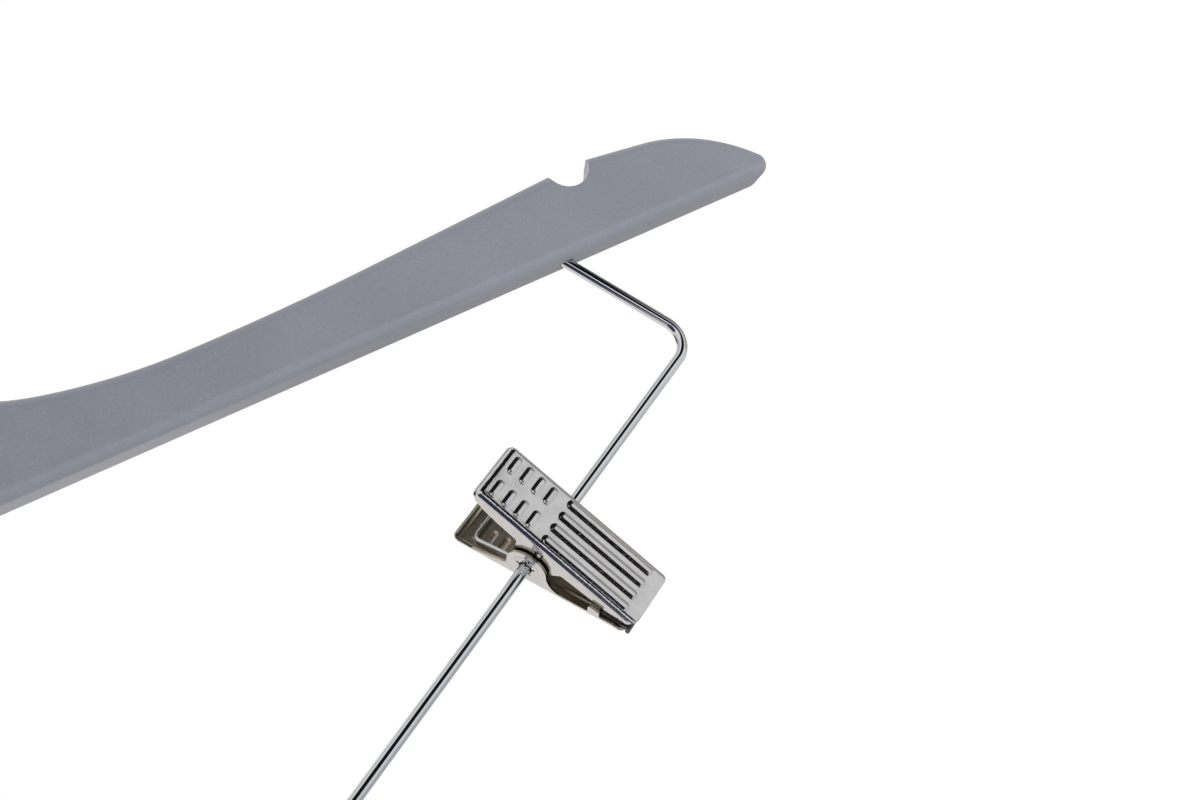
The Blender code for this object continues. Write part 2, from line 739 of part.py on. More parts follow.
def make_front_jaw(prefix, clip):
    obj = make_jaw(
        prefix + "front_jaw", clip, front_side(), FRONT_WIDTH, FRONT_HANDLE, FRONT_JAW,
        FRONT_DEPTH, -1, FRONT_TILT, HANDLE_CORNER, FRONT_HANDLE_LIP)
    wide, tall = (size / 2.0 for size in SPRING_HOLE)
    corners = [(-wide, -tall, wide), (wide, -tall, wide), (wide, tall, wide), (-wide, tall, wide)]
    outline = [(y - SPRING_HOOK_OUT, z) for y, z in rounded(corners)]
    hole = as_cutter(flat_solid(prefix + "spring_hole", outline, 2.0 * FRONT_WIDTH, SIDE_PLANE), clip)
    hole.rotation_euler = (math.radians(FRONT_TILT), 0.0, 0.0)
    boolean(obj, hole)


def make_rear_jaw(prefix, clip):
    make_jaw(
        prefix + "rear_jaw", clip, rear_side(), REAR_WIDTH, REAR_HANDLE, REAR_JAW,
        REAR_DEPTH, 1, REAR_TILT, REAR_HANDLE_CORNER, END_WALL)


def make_front_pad(prefix, clip):
    start = FRONT_JAW - PAD_LENGTH + FIT_GAP
    end = FRONT_JAW - PAD_INSET
    low = SHEET + FIT_GAP
    corners = [
        (start, low, 0.0), (end, low, 0.0),
        (end, bite_depth(end, True) - FIT_GAP / 2.0, PAD_ROUND),
        (start, bite_depth(start, True) - FIT_GAP / 2.0, 2.0 * PAD_ROUND)]
    line = [jaw_place(s, depth, FRONT_DEPTH, -1) for s, depth in rounded(corners)]
    width = FRONT_WIDTH - 2.0 * (SHEET + FIT_GAP)
    pad = flat_solid(prefix + "front_pad", line, width, SIDE_PLANE)
    pad.rotation_euler = (math.radians(FRONT_TILT), 0.0, 0.0)
    trim_pad(pad, FRONT_JAW, width, prefix, clip)
    add_part(pad, RUBBER, clip)


def trim_pad(pad, jaw, width, prefix, clip):
    """Round the pad's two corners at the tip as the plate's are."""
    inset = width / 2.0
    corner = TIP_CORNER - SHEET
    plan = [
        (-inset, 0.0, 0.0), (-inset, -jaw + SHEET, corner),
        (inset, -jaw + SHEET, corner), (inset, 0.0, 0.0)]
    cutter = as_cutter(flat_solid(prefix + "front_pad_plan", rounded(plan), 2.0 * jaw, HANGER_PLANE), clip)
    cutter.rotation_euler = pad.rotation_euler
    boolean(pad, cutter, "INTERSECT")


def make_rear_pad(prefix, clip):
    start = REAR_JAW - PAD_LENGTH + FIT_GAP
    heel = REAR_JAW + FIT_GAP
    end = heel + PAD_LIP
    low = SHEET + FIT_GAP
    corners = [
        (start, low, 0.0), (heel, low, 0.0), (heel, 0.0, 0.0), (end, 0.0, PAD_ROUND),
        (end, bite_depth(end, False) - FIT_GAP / 2.0, PAD_ROUND),
        (start, bite_depth(start, False) - FIT_GAP / 2.0, 2.0 * PAD_ROUND)]
    line = [jaw_place(s, depth, REAR_DEPTH, 1) for s, depth in rounded(corners)]
    width = REAR_WIDTH - 2.0 * (SHEET + FIT_GAP)
    pad = flat_solid(prefix + "rear_pad", line, width, SIDE_PLANE)
    pad.rotation_euler = (math.radians(REAR_TILT), 0.0, 0.0)
    add_part(pad, RUBBER, clip)


def make_eyelet(prefix, clip):
    """A tube with a rolled flange at one end and a star-split one at the other."""
    seat = REAR_WIDTH / 2.0 + FIT_GAP
    face = seat + EYELET_FLANGE_THICKNESS
    flange = EYELET_FLANGE / 2.0
    profile = [
        (EYELET_INNER, face), (flange, face), (flange, seat), (EYELET_OUTER, seat),
        (EYELET_OUTER, -seat), (flange, -seat), (flange, -face), (EYELET_INNER, -face)]
    eyelet = turned(prefix + "pivot_eyelet", profile)
    shape = bmesh.new()
    reach = flange - EYELET_OUTER
    for i in range(EYELET_PETALS):
        made = bmesh.ops.create_cube(shape, size=1.0)
        size = Matrix.Diagonal((reach, EYELET_SPLIT, 4.0 * EYELET_FLANGE_THICKNESS, 1.0))
        out = Matrix.Translation((EYELET_OUTER + reach, 0.0, -face))
        turn = Matrix.Rotation(2.0 * math.pi * (i + 0.5) / EYELET_PETALS, 4, "Z")
        bmesh.ops.transform(shape, matrix=turn @ out @ size, verts=made["verts"])
    mesh = bpy.data.meshes.new(prefix + "star_split")
    shape.to_mesh(mesh)
    shape.free()
    split = as_cutter(bpy.data.objects.new(prefix + "star_split", mesh), clip)
    boolean(eyelet, split)
    for obj in (eyelet, split):
        obj.rotation_euler = (0.0, math.pi / 2.0, 0.0)
    add_part(eyelet, PLATED_STEEL, clip)


def tangent_angle(distance, target_angle, radius, sense):
    """The angle on a circle where a line to a point outside it leaves."""
    return target_angle + sense * math.acos(radius / distance)


def spring_half():
    """One half of the spring, from the middle of its loop to its free end, as (x, y, z)."""
    radius = SPRING_COIL / 2.0
    wire = SPRING_WIRE / 2.0
    rear = math.radians(-REAR_TILT)
    loop_out = REAR_DEPTH - SHEET - wire - FIT_GAP
    loop_along = Vector((math.sin(rear), math.cos(rear)))
    loop_off = Vector((math.cos(rear), -math.sin(rear)))
    loop = loop_along * SPRING_LOOP + loop_off * loop_out
    first = tangent_angle(loop.length, math.atan2(loop.x, loop.y), radius, 1.0)
    front = math.radians(FRONT_TILT)
    end = Vector((-math.cos(front), -math.sin(front))) * SPRING_HOOK_OUT
    last = tangent_angle(end.length, math.atan2(end.x, end.y) % (2.0 * math.pi), radius, -1.0)
    last += 2.0 * math.pi * (SPRING_TURNS if last > first else SPRING_TURNS + 1)
    steps = round((last - first) / (2.0 * math.pi) * SPRING_POINTS)
    coil = []
    for k in range(steps + 1):
        angle = first + (last - first) * k / steps
        x = SPRING_LEG_X - SPRING_PITCH * (angle - first) / (2.0 * math.pi)
        coil.append((x, radius * math.sin(angle), radius * math.cos(angle)))
    leg = (Vector(coil[0][1:]) - loop).normalized()
    loop_bend = []
    for across, along in ((1.0, 0.0), (HALF_BEND, HALF_BEND), (0.0, 1.0)):
        corner = loop + leg * SPRING_LOOP_BEND * along
        loop_bend.append((SPRING_LEG_X - SPRING_LOOP_BEND * across, *corner))
    reach = (end - Vector(coil[-1][1:])).normalized()
    x = coil[-1][0]
    out_end = FRONT_WIDTH / 2.0 + SPRING_WIRE / 2.0
    short = end - reach * SPRING_END_BEND
    middle = end - reach * SPRING_END_BEND * HALF_BEND
    free_end = [
        (x, *short), (x + SPRING_END_BEND * HALF_BEND, *middle),
        (x + SPRING_END_BEND, *end), (out_end, *end)]
    return loop_bend + coil + free_end


def spring_gap(points):
    """The least gap between stretches of the spring that aren't next to each other."""
    runs = [0.0]
    for before, after in zip(points, points[1:]):
        runs.append(runs[-1] + (Vector(after) - Vector(before)).length)
    least = 1.0
    for i, one in enumerate(points):
        for j in range(i + 1, len(points)):
            if runs[j] - runs[i] > 3.0 * SPRING_WIRE:
                least = min(least, (Vector(points[j]) - Vector(one)).length)
    return least - SPRING_WIRE


def make_spring(prefix, clip):
    half = spring_half()
    points = [(-x, y, z) for x, y, z in reversed(half)] + half
    print(prefix + "spring least gap to itself, mm:", round(1000.0 * spring_gap(points), 2))
    obj = tube(prefix + "spring", points, [SPRING_WIRE / 2.0] * len(points), 6)
    add_part(obj, SPRING_STEEL, clip)


def make_clip(prefix, x):
    """One clip round the bar: the empty sits on the pivot's axis."""
    clip = empty(prefix + "clip_pivot", (x, 0.0, BAR_Z))
    make_eyelet(prefix, clip)
    make_front_jaw(prefix, clip)
    make_rear_jaw(prefix, clip)
    make_front_pad(prefix, clip)
    make_rear_pad(prefix, clip)
    make_spring(prefix, clip)


make_arms()
make_ferrule()
make_hook()
make_bar()
make_clip("right_", CLIP_OFFSET)
make_clip("left_", -CLIP_OFFSET)
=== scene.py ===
import math

import bmesh
import bpy
from mathutils import Matrix, Vector
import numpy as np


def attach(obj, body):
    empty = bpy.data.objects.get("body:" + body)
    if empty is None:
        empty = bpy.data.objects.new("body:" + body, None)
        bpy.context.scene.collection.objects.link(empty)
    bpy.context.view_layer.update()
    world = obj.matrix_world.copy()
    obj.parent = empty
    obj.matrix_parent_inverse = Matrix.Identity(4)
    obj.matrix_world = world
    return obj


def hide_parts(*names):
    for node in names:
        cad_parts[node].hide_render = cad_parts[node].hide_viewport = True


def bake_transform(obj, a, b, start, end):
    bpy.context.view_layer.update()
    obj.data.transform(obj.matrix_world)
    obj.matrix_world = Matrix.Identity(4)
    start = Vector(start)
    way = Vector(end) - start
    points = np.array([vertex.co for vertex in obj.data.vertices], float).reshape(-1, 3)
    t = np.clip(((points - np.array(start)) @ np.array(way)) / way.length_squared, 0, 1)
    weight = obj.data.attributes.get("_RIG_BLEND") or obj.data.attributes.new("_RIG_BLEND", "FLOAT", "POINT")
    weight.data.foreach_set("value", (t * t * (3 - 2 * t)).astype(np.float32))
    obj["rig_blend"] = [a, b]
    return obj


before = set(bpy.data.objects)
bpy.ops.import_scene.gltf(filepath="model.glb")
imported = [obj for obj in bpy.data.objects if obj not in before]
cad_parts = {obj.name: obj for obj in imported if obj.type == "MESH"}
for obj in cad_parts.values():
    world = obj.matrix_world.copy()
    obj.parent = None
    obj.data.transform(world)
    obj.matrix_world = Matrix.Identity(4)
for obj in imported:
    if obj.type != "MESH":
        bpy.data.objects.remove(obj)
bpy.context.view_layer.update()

# Skirt hanger in satin grey paint, with a chromed hook and clip bar and two plated spring clips.
# Sizes in metres and degrees, the same as the part's own.

# Painted board
BOARD_THICKNESS = 0.012
EDGE_ROUND = 0.003
EDGE_ROUND_STEPS = 8
EDGE_ROUND_ANGLE = 60.0
HALF_SPAN = 0.231
LOWER_SLOPE = 22.2
UPPER_SLOPE = 18.1
ARM_DEPTH = 0.02436
SHOULDER_X = 0.187
SHOULDER_SLOPE = 27.4
SHOULDER_RADIUS = 0.053
TIP_RADIUS = 0.0035
ARCH_RADIUS = 0.025
NECK_FOOT = (0.0914, 21.7, 0.830)
NECK_WAIST = (0.0509, 33.7, 0.160)
NECK_SIDE = (0.0179, 74.0, 0.061)
NECK_HEIGHT = 0.0455
NECK_TOP_RADIUS = 0.0055
NOTCH_X = 0.1814
NOTCH_RADIUS = 0.0065
NOTCH_DEPTH = 0.0063
NOTCH_SLANT = 24.5
NOTCH_LIP = 0.0005
NOTCH_STEPS = 96
NOTCH_LIP_ANGLE = 25.0
NOTCH_LIP_NEAR = 0.0001
FINGER_COUNT = 4
FINGER_HEIGHT = 0.0055
FINGER_LENGTH = 0.010
FINGER_RISE = 0.0045
GLUE_LINE = 0.00004
BOARD_SHARP_ANGLE = 34.0
ARM_WELD = 1e-6

# Hook and ferrule
HOOK_WIRE = 0.0036
HOOK_RADIUS = 0.0205
HOOK_SHANK_RADIUS = 0.012
HOOK_SHANK = 0.013
HOOK_STEM_END = 0.002
HOOK_END_TURN = 20.0
HOOK_COLLAR = 0.0054
HOOK_COLLAR_LENGTH = 0.002
HOOK_COLLAR_INNER = HOOK_WIRE / 2.2
HOOK_COLLAR_ROUND = 0.0004
HOOK_SIDES = 36
FERRULE_BORE = 0.0021
FERRULE_OUTER = 0.0030
FERRULE_DEPTH = 0.011
FERRULE_FLANGE = 0.010
FERRULE_FLANGE_THICKNESS = 0.0008
FERRULE_MOUTH_ROUND = 0.0003
FERRULE_RIM_ROUND = 0.0004
FERRULE_ROUND = 0.0002
NECK_BORE = 0.0033
NECK_BORE_SPARE = 0.004

# Clip bar
BAR_WIRE = 0.003
BAR_HALF = 0.1673
BAR_DROP = 0.0365
BAR_LEG_ANGLE = 79.8
BAR_BEND = 0.007
BAR_INSERT = 0.012
BAR_SIDES = 40
BAR_BEND_STEPS = 18
LEG_HOLE = 0.00172

# Pressed jaws
CLIP_OFFSET = 0.0907
SHEET = 0.0007
BEND_RADIUS = 0.0016
END_BEND_RADIUS = 0.0020
JAW_EDGE = 0.00013
JAW_EDGE_ANGLE = 62.0
JAW_WELD = 0.00004
JAW_SLIVER = 0.00002
BEND_STEPS = 8
FRONT_WIDTH = 0.0170
REAR_WIDTH = 0.0194
FRONT_TILT = 3.5
REAR_TILT = -21.0
FRONT_DEPTH = 0.0106
REAR_DEPTH = 0.0064
FRONT_HANDLE = 0.0223
FRONT_JAW = 0.0285
REAR_HANDLE = 0.0214
REAR_JAW = 0.0278
FRONT_END_WALL = 0.0017
REAR_END_WALL = 0.0020
FRONT_EAR = 0.0046
REAR_EAR = 0.0052
EAR_HOLE = 0.0026
TIP_CORNER = 0.0021
FRONT_TIP_RISE = 0.0036
FRONT_TIP_ROUND = 0.0004
FRONT_HEEL_ROUND = 0.002
SPRING_HOLE = (0.0010, 0.0014)
FRONT_FLANGE_LOW = ((0.01425, 0.0040, 0.004), (0.0074, 0.0046, 0.0008), (0.0050, 0.0088, 0.001))
FRONT_FLANGE_HIGH = (
    (-0.0052, 0.0086, 0.001), (-0.0064, 0.0052, 0.0008), (-0.0126, 0.0049, 0.003),
    (-0.0172, 0.0043, 0.003), (-0.0206, 0.0032, 0.002))
REAR_STRIP = 0.0020
REAR_FLANGE_LOW = ((0.0092, REAR_STRIP, 0.002), (0.0072, 0.0031, 0.002), (0.0060, 0.0054, 0.001))
REAR_FLANGE_HIGH = ((-0.0055, 0.0040, 0.001), (-0.0075, 0.0032, 0.003), (-0.0154, 0.0018, 0.003))
TAB_ABOVE_PAD = 0.0023
TAB_BESIDE_PAD = 0.0009
TAB_CORNER = 0.0004
TAB_FOOT_ROUND = 0.0003

# Ribs pressed into each jaw
RIB_TOP = 0.00035
RIB_HEIGHT = 0.00030
RIB_STEPS = 8
RIB_EASE = 0.2
RIB_FLANK = (0.05, 0.95)
SHORT_RIB_FOOT = 0.00125
SHORT_RIB_ROWS = 4
SHORT_RIB_PITCH = 0.0038
SHORT_RIB_START = 0.0041
SHORT_RIB_LENGTH = 0.0056
SHORT_RIB_OFFSET = 0.0040
LONG_RIB_FOOT = 0.00150
LONG_RIB_COUNT = 4
LONG_RIB_SPACING = 0.00395
LONG_RIB_START = 0.0196
LONG_RIB_END = 0.0034

# Rubber pads
PAD_LENGTH = 0.0076
PAD_LIP = 0.0011
PAD_INSET = 0.0010
PAD_ROUND = 0.0005
PAD_LIP_ROUND = 0.0002
PAD_TIP_CORNER = 0.0011
PAD_TIP_EDGE = 0.0004
PAD_SHARP_ANGLE = 30.0
PAD_GROOVES = 5
PAD_GROOVE = 0.00022
GROOVE_ROUND = 0.00006
GROOVE_SPARE = 0.6
# A groove's section as (share of the pitch, share of the depth)
GROOVE_SECTION = ((0.62, 0.0), (0.85, 1.0), (1.0, 1.0), (1.23, 0.0))

# Pivot eyelets
EYELET_INNER = 0.0018
EYELET_OUTER = 0.0023
EYELET_FLANGE = 0.0036
EYELET_SEAT = 0.00972
EYELET_FACE = 0.00988
EYELET_RIM = 0.00004
EYELET_PETALS = 5
EYELET_SPLIT = 0.00042
EYELET_SPLIT_END = 0.0028
EYELET_SPLIT_DEPTH = 0.0020
EYELET_SPLIT_SPREAD = 1.5
EYELET_ROUND = 0.00025

# Springs
SPRING_WIRE = 0.0011
SPRING_COIL = 0.0064
SPRING_PITCH = 0.00157
SPRING_TURNS = 3
SPRING_POINTS = 32
SPRING_LEG_X = 0.0068
SPRING_LOOP = 0.0167
SPRING_LOOP_BEND = 0.0016
SPRING_HOOK_OUT = 0.0070
SPRING_END_BEND = 0.0010
SPRING_BEND_STEPS = 8
SPRING_SIDES = 14
# Where the spring starts and stops turning with the front jaw, in coil radii
SPRING_BLEND = (0.3, 1.6)

FIT_GAP = 0.0003
ARC_ERROR = 0.000012
WELD = 2e-6
SHARP_ANGLE = 38.0

# Frames that lay a flat drawing in the hanger's plane or in a clip's side plane
HANGER_PLANE = Matrix(((1, 0, 0, 0), (0, 0, -1, 0), (0, 1, 0, 0), (0, 0, 0, 1)))
SIDE_PLANE = Matrix(((0, 0, 1, 0), (1, 0, 0, 0), (0, 1, 0, 0), (0, 0, 0, 1)))


def slope(degrees):
    return math.tan(math.radians(degrees))


def heading(degrees):
    angle = math.radians(degrees)
    return Vector((math.cos(angle), math.sin(angle)))


def crossing(point, direction, other, other_direction):
    """Where two lines in a plane meet."""
    gap = other - point
    turn = direction.x * other_direction.y - direction.y * other_direction.x
    along = (gap.x * other_direction.y - gap.y * other_direction.x) / turn
    return point + along * direction


# The heights of the board's two long edges above the bar, at a distance from the middle
def lower_edge(x):
    return BAR_DROP + slope(LOWER_SLOPE) * (BAR_HALF - abs(x))


def upper_edge(x):
    return BAR_DROP + ARM_DEPTH + slope(UPPER_SLOPE) * (BAR_HALF - abs(x))


# The bar's height follows from the hook's top, which touches the rail at the origin.
NECK_TOP = lower_edge(0.0) + NECK_HEIGHT
HOOK_SWEEP = math.acos(HOOK_SHANK_RADIUS / (HOOK_SHANK_RADIUS + HOOK_RADIUS))
HOOK_RISE = (HOOK_SHANK_RADIUS + HOOK_RADIUS) * math.sin(HOOK_SWEEP)
BAR_Z = -(NECK_TOP + HOOK_SHANK + HOOK_RISE + HOOK_RADIUS - HOOK_WIRE / 2.0)
NECK_TOP_Z = NECK_TOP + BAR_Z


# Drawing and shaping
def mesh_from(name, shape):
    mesh = bpy.data.meshes.new(name)
    shape.to_mesh(mesh)
    shape.free()
    return mesh


def add_object(name, data):
    obj = bpy.data.objects.new(name, data)
    bpy.context.scene.collection.objects.link(obj)
    return obj


def verts_of(geometry):
    return [item for item in geometry if isinstance(item, bmesh.types.BMVert)]


def turn_faces_out(shape):
    bmesh.ops.recalc_face_normals(shape, faces=shape.faces)


def arc_steps(turn, radius):
    step = 2.0 * math.acos(1.0 - min(ARC_ERROR / radius, 0.1))
    return max(3, math.ceil(turn / step))


def sketch(shape, corners):
    """Draw a closed line through corners given as (x, y, radius), spinning an arc at each radius."""
    count = len(corners)
    points = [Vector((corner[0], corner[1], 0.0)) for corner in corners]
    backs = [(points[i - 1] - points[i]).normalized() for i in range(count)]
    aheads = [(points[(i + 1) % count] - points[i]).normalized() for i in range(count)]
    turns = [math.pi - back.angle(ahead) for back, ahead in zip(backs, aheads)]
    tangents = [corner[2] * math.tan(turn / 2.0) for corner, turn in zip(corners, turns)]
    fits = [1.0] * count
    for i in range(count):
        j = (i + 1) % count
        room = (points[j] - points[i]).length
        if tangents[i] + tangents[j] > room + ARC_ERROR:
            share = room / (tangents[i] + tangents[j])
            fits[i], fits[j] = min(fits[i], share), min(fits[j], share)
    first = last = None
    for i in range(count):
        tangent = tangents[i] * fits[i]
        vert = shape.verts.new(points[i] + backs[i] * tangent)
        if last:
            shape.edges.new((last, vert))
        first, last = first or vert, vert
        if tangent > 1e-6:
            radius = tangent / math.tan(turns[i] / 2.0)
            centre = points[i] + (backs[i] + aheads[i]).normalized() * math.hypot(radius, tangent)
            side = -1.0 if backs[i].cross(aheads[i]).z > 0.0 else 1.0
            spun = bmesh.ops.spin(
                shape, geom=[vert], cent=centre, axis=(0.0, 0.0, side), angle=turns[i],
                steps=arc_steps(turns[i], radius), use_merge=False, use_duplicate=False)
            last = verts_of(spun["geom_last"])[0]
    shape.edges.new((last, first))
    bmesh.ops.remove_doubles(shape, verts=shape.verts, dist=WELD)


def slab(corners, thickness, plane):
    """A flat drawing given a thickness, half to each side, and laid in a plane."""
    shape = bmesh.new()
    sketch(shape, corners)
    face = bmesh.ops.contextual_create(shape, geom=shape.edges[:])["faces"]
    grown = bmesh.ops.extrude_face_region(shape, geom=face)["geom"]
    bmesh.ops.translate(shape, verts=verts_of(grown), vec=(0.0, 0.0, thickness))
    bmesh.ops.translate(shape, verts=shape.verts, vec=(0.0, 0.0, -thickness / 2.0))
    turn_faces_out(shape)
    bmesh.ops.transform(shape, matrix=plane, verts=shape.verts)
    return shape


def round_edges(shape, edges, width, segments, clamp=False):
    bmesh.ops.bevel(
        shape, geom=edges, offset=width, offset_type="OFFSET", segments=segments, profile=0.5,
        affect="EDGES", material=-1, clamp_overlap=clamp, loop_slide=True)


def sharp_edges(shape, degrees):
    limit = math.radians(degrees)
    return [
        edge for edge in shape.edges
        if len(edge.link_faces) == 2 and edge.calc_face_angle(0.0) > limit]


def turn_over(shape, degrees, axis):
    """Turn a whole shape about an axis through the origin."""
    turn = Matrix.Rotation(math.radians(degrees), 3, axis)
    bmesh.ops.rotate(shape, cent=(0, 0, 0), matrix=turn, verts=shape.verts)


def turned(corners, steps=64):
    """A closed drawing of (radius, height, corner radius) turned about Z."""
    shape = bmesh.new()
    sketch(shape, corners)
    turn_over(shape, 90.0, "X")
    bmesh.ops.spin(
        shape, geom=shape.verts[:] + shape.edges[:], cent=(0, 0, 0), axis=(0, 0, 1),
        angle=2.0 * math.pi, steps=steps, use_merge=True, use_duplicate=False)
    bmesh.ops.remove_doubles(shape, verts=shape.verts, dist=WELD)
    turn_faces_out(shape)
    return shape


def rod(radius, start, end, sides=48):
    """A plain round cutter between two points."""
    shape = bmesh.new()
    axis = Vector(end) - Vector(start)
    bmesh.ops.create_cone(
        shape, cap_ends=True, segments=sides, radius1=radius, radius2=radius, depth=axis.length)
    turn = Vector((0.0, 0.0, 1.0)).rotation_difference(axis).to_matrix().to_4x4()
    middle = Matrix.Translation((Vector(start) + Vector(end)) / 2.0)
    bmesh.ops.transform(shape, matrix=middle @ turn, verts=shape.verts)
    return shape


def work_object(shape):
    return add_object("work", mesh_from("work", shape))


def carved(shape, tools, operation="DIFFERENCE"):
    """What is left of a closed shape when each tool has been cut out of it, or kept."""
    body = work_object(shape)
    cutters = [work_object(tool) for tool in tools]
    for cutter in cutters:
        modifier = body.modifiers.new("cut", "BOOLEAN")
        modifier.solver = "EXACT"
        modifier.operation = operation
        modifier.object = cutter
    bpy.context.view_layer.update()
    graph = bpy.context.evaluated_depsgraph_get()
    mesh = bpy.data.meshes.new_from_object(body.evaluated_get(graph))
    left = bmesh.new()
    left.from_mesh(mesh)
    for obj in (body, *cutters):
        bpy.data.objects.remove(obj, do_unlink=True)
    return left


def rim_edges(ring):
    """The edges that run round one ring of verts."""
    near = {edge for vert in ring for edge in vert.link_edges}
    return [edge for edge in near if all(vert in ring for vert in edge.verts)]


def wire(points, radius, sides, ends=3):
    """A round wire drawn through points, ring by ring, with its two ends domed."""
    points = [Vector(point) for point in points]
    stations = [(point, radius) for point in points[1:-1]]
    for tip, towards in ((points[0], points[1]), (points[-1], points[-2])):
        out = (tip - towards).normalized()
        stations.reverse()
        stations.append((tip - out * radius, radius))
        for k in range(1, ends + 1):
            angle = math.radians(90.0 * k / (ends + 0.5))
            stations.append((tip + out * radius * (math.sin(angle) - 1.0), radius * math.cos(angle)))
    shape = bmesh.new()
    ring = bmesh.ops.create_circle(shape, cap_ends=True, radius=stations[0][1], segments=sides)["verts"]
    facing = Vector((0.0, 0.0, 1.0))
    place = Vector()
    size = stations[0][1]
    for i, (point, width) in enumerate(stations):
        before = (point - stations[i - 1][0]).normalized() if i else Vector()
        after = (stations[i + 1][0] - point).normalized() if i + 1 < len(stations) else Vector()
        aim = (before + after).normalized()
        if i:
            grown = bmesh.ops.extrude_edge_only(shape, edges=rim_edges(ring))["geom"]
            ring = set(verts_of(grown))
        turn = facing.rotation_difference(aim).to_matrix().to_4x4()
        grow = Matrix.Scale(width / size, 4)
        step = Matrix.Translation(point) @ turn @ grow @ Matrix.Translation(-place)
        bmesh.ops.transform(shape, matrix=step, verts=list(ring))
        facing, place, size = aim, point, width
    bmesh.ops.contextual_create(shape, geom=rim_edges(ring))
    turn_faces_out(shape)
    return shape


def arc_between(start, corner, end, radius, steps):
    """Points of the arc that rounds a bend in space, from one straight to the next."""
    back, ahead = (start - corner).normalized(), (end - corner).normalized()
    turn = math.pi - back.angle(ahead)
    tangent = radius * math.tan(turn / 2.0)
    centre = corner + (back + ahead).normalized() * math.hypot(radius, tangent)
    axis = ahead.cross(back)
    first = corner + back * tangent - centre
    return [centre + Matrix.Rotation(turn * k / steps, 3, axis) @ first for k in range(steps + 1)]


def make_piece(name, shape, finish, node, body=None, sharp=SHARP_ANGLE, even=True):
    """Turn a finished shape into the piece that stands for a node, riding on its body."""
    mesh = mesh_from(name, shape)
    finishes = finish if isinstance(finish, tuple) else (finish,)
    for material in finishes:
        mesh.materials.append(material)
    mesh.shade_smooth()
    mesh.set_sharp_from_angle(angle=math.radians(sharp))
    obj = add_object(name, mesh)
    if even:
        normals = obj.modifiers.new("flat faces stay flat", "WEIGHTED_NORMAL")
        normals.keep_sharp = True
        normals.weight = 80
    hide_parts(node)
    if body:
        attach(obj, body)
    return obj


# Finishes
PAINT_TONES = ((0.212, 0.221, 0.259), (0.228, 0.237, 0.277))
PAINT_LIGHT_SPECK = (0.295, 0.308, 0.356)
PAINT_DARK_SPECK = (0.163, 0.168, 0.199)
PAINT_SCRATCH = (0.35, 0.365, 0.405)
PAINT_BUMP = 0.000022
GRAIN_STRETCH = (25.0, 900.0, 420.0)
SPECK_SCALE = 2100.0
LIGHT_SPECKS = (0.55, 0.75, 0.0, 0.42)
DARK_SPECKS = (0.26, 0.46, 0.42, 0.0)
BARE_WOOD = ((0.20, 0.09, 0.035), (0.50, 0.30, 0.16))
CHIP_ASIDE = 0.0019
CHIP_AHEAD = 0.0008
CHIP_RIM = (0.0024, 0.0028)
CHIP_RAGGED = 0.0030
CHIP_SCALE = 900.0
# How many times as deep as the paint's bump a chip is
CHIP_BUMPS = 6.0
RUBBER_TONES = ((0.014, 0.015, 0.016), (0.026, 0.027, 0.028))
RUBBER_DUST = (0.07, 0.07, 0.068)
RUBBER_BUMP = 0.00002
DUST_SCALE = 1700.0
DUST_RANGE = (0.58, 0.75, 0.0, 0.5)
CRUMB_SCALE = 1700.0
SCRATCH_TURNS = ((0.3, 0.5, 0.9), (1.2, -0.6, 2.3))
SCRATCH_STRETCH = (1.0, 14.0, 14.0)
SCRATCH_WIDTH = 0.006
SCRATCH_PATCH_SCALE = 45.0
SCRATCH_PATCHES = (0.5, 0.68)


def new_group(name, inputs, outputs):
    """A node group of numbers, its inputs given with what they are at first."""
    group = bpy.data.node_groups.new(name, "ShaderNodeTree")
    for label, value in inputs.items():
        socket = group.interface.new_socket(label, in_out="INPUT", socket_type="NodeSocketFloat")
        socket.default_value = value
    for label in outputs:
        group.interface.new_socket(label, in_out="OUTPUT", socket_type="NodeSocketFloat")
    nodes = group.nodes
    return group, nodes.new("NodeGroupInput"), nodes.new("NodeGroupOutput")


def feed(tree, socket, value):
    """Link an input to another node's output, or set it to a number or a colour."""
    if isinstance(value, bpy.types.NodeSocket):
        tree.links.new(value, socket)
    else:
        socket.default_value = (*value, 1.0) if socket.type == "RGBA" else value


def math_node(tree, operation, *values, kind="ShaderNodeMath"):
    node = tree.nodes.new(kind)
    node.operation = operation
    for socket, value in zip(node.inputs, values):
        feed(tree, socket, value)
    return node.outputs["Value"]


def noise_node(tree, vector, scale, detail=2.0, roughness=0.5):
    node = tree.nodes.new("ShaderNodeTexNoise")
    for label, value in (("Vector", vector), ("Scale", scale), ("Detail", detail), ("Roughness", roughness)):
        feed(tree, node.inputs[label], value)
    return node.outputs["Fac"]


def object_place(tree):
    return tree.nodes.new("ShaderNodeTexCoord").outputs["Object"]


def stretched(tree, vector, scale, turn=(0.0, 0.0, 0.0)):
    node = tree.nodes.new("ShaderNodeMapping")
    for label, value in (("Vector", vector), ("Rotation", turn), ("Scale", scale)):
        feed(tree, node.inputs[label], value)
    return node.outputs["Vector"]


def blended(tree, share, first, second):
    """A colour between two, each given as a colour or a socket."""
    node = tree.nodes.new("ShaderNodeMix")
    node.data_type = "RGBA"
    for socket, value in ((node.inputs["Factor"], share), (node.inputs[6], first), (node.inputs[7], second)):
        feed(tree, socket, value)
    return node.outputs[2]


def ranged(tree, value, low, high, to_low=0.0, to_high=1.0):
    node = tree.nodes.new("ShaderNodeMapRange")
    node.interpolation_type = "SMOOTHSTEP"
    for socket, number in zip(node.inputs, (value, low, high, to_low, to_high)):
        feed(tree, socket, number)
    return node.outputs["Result"]


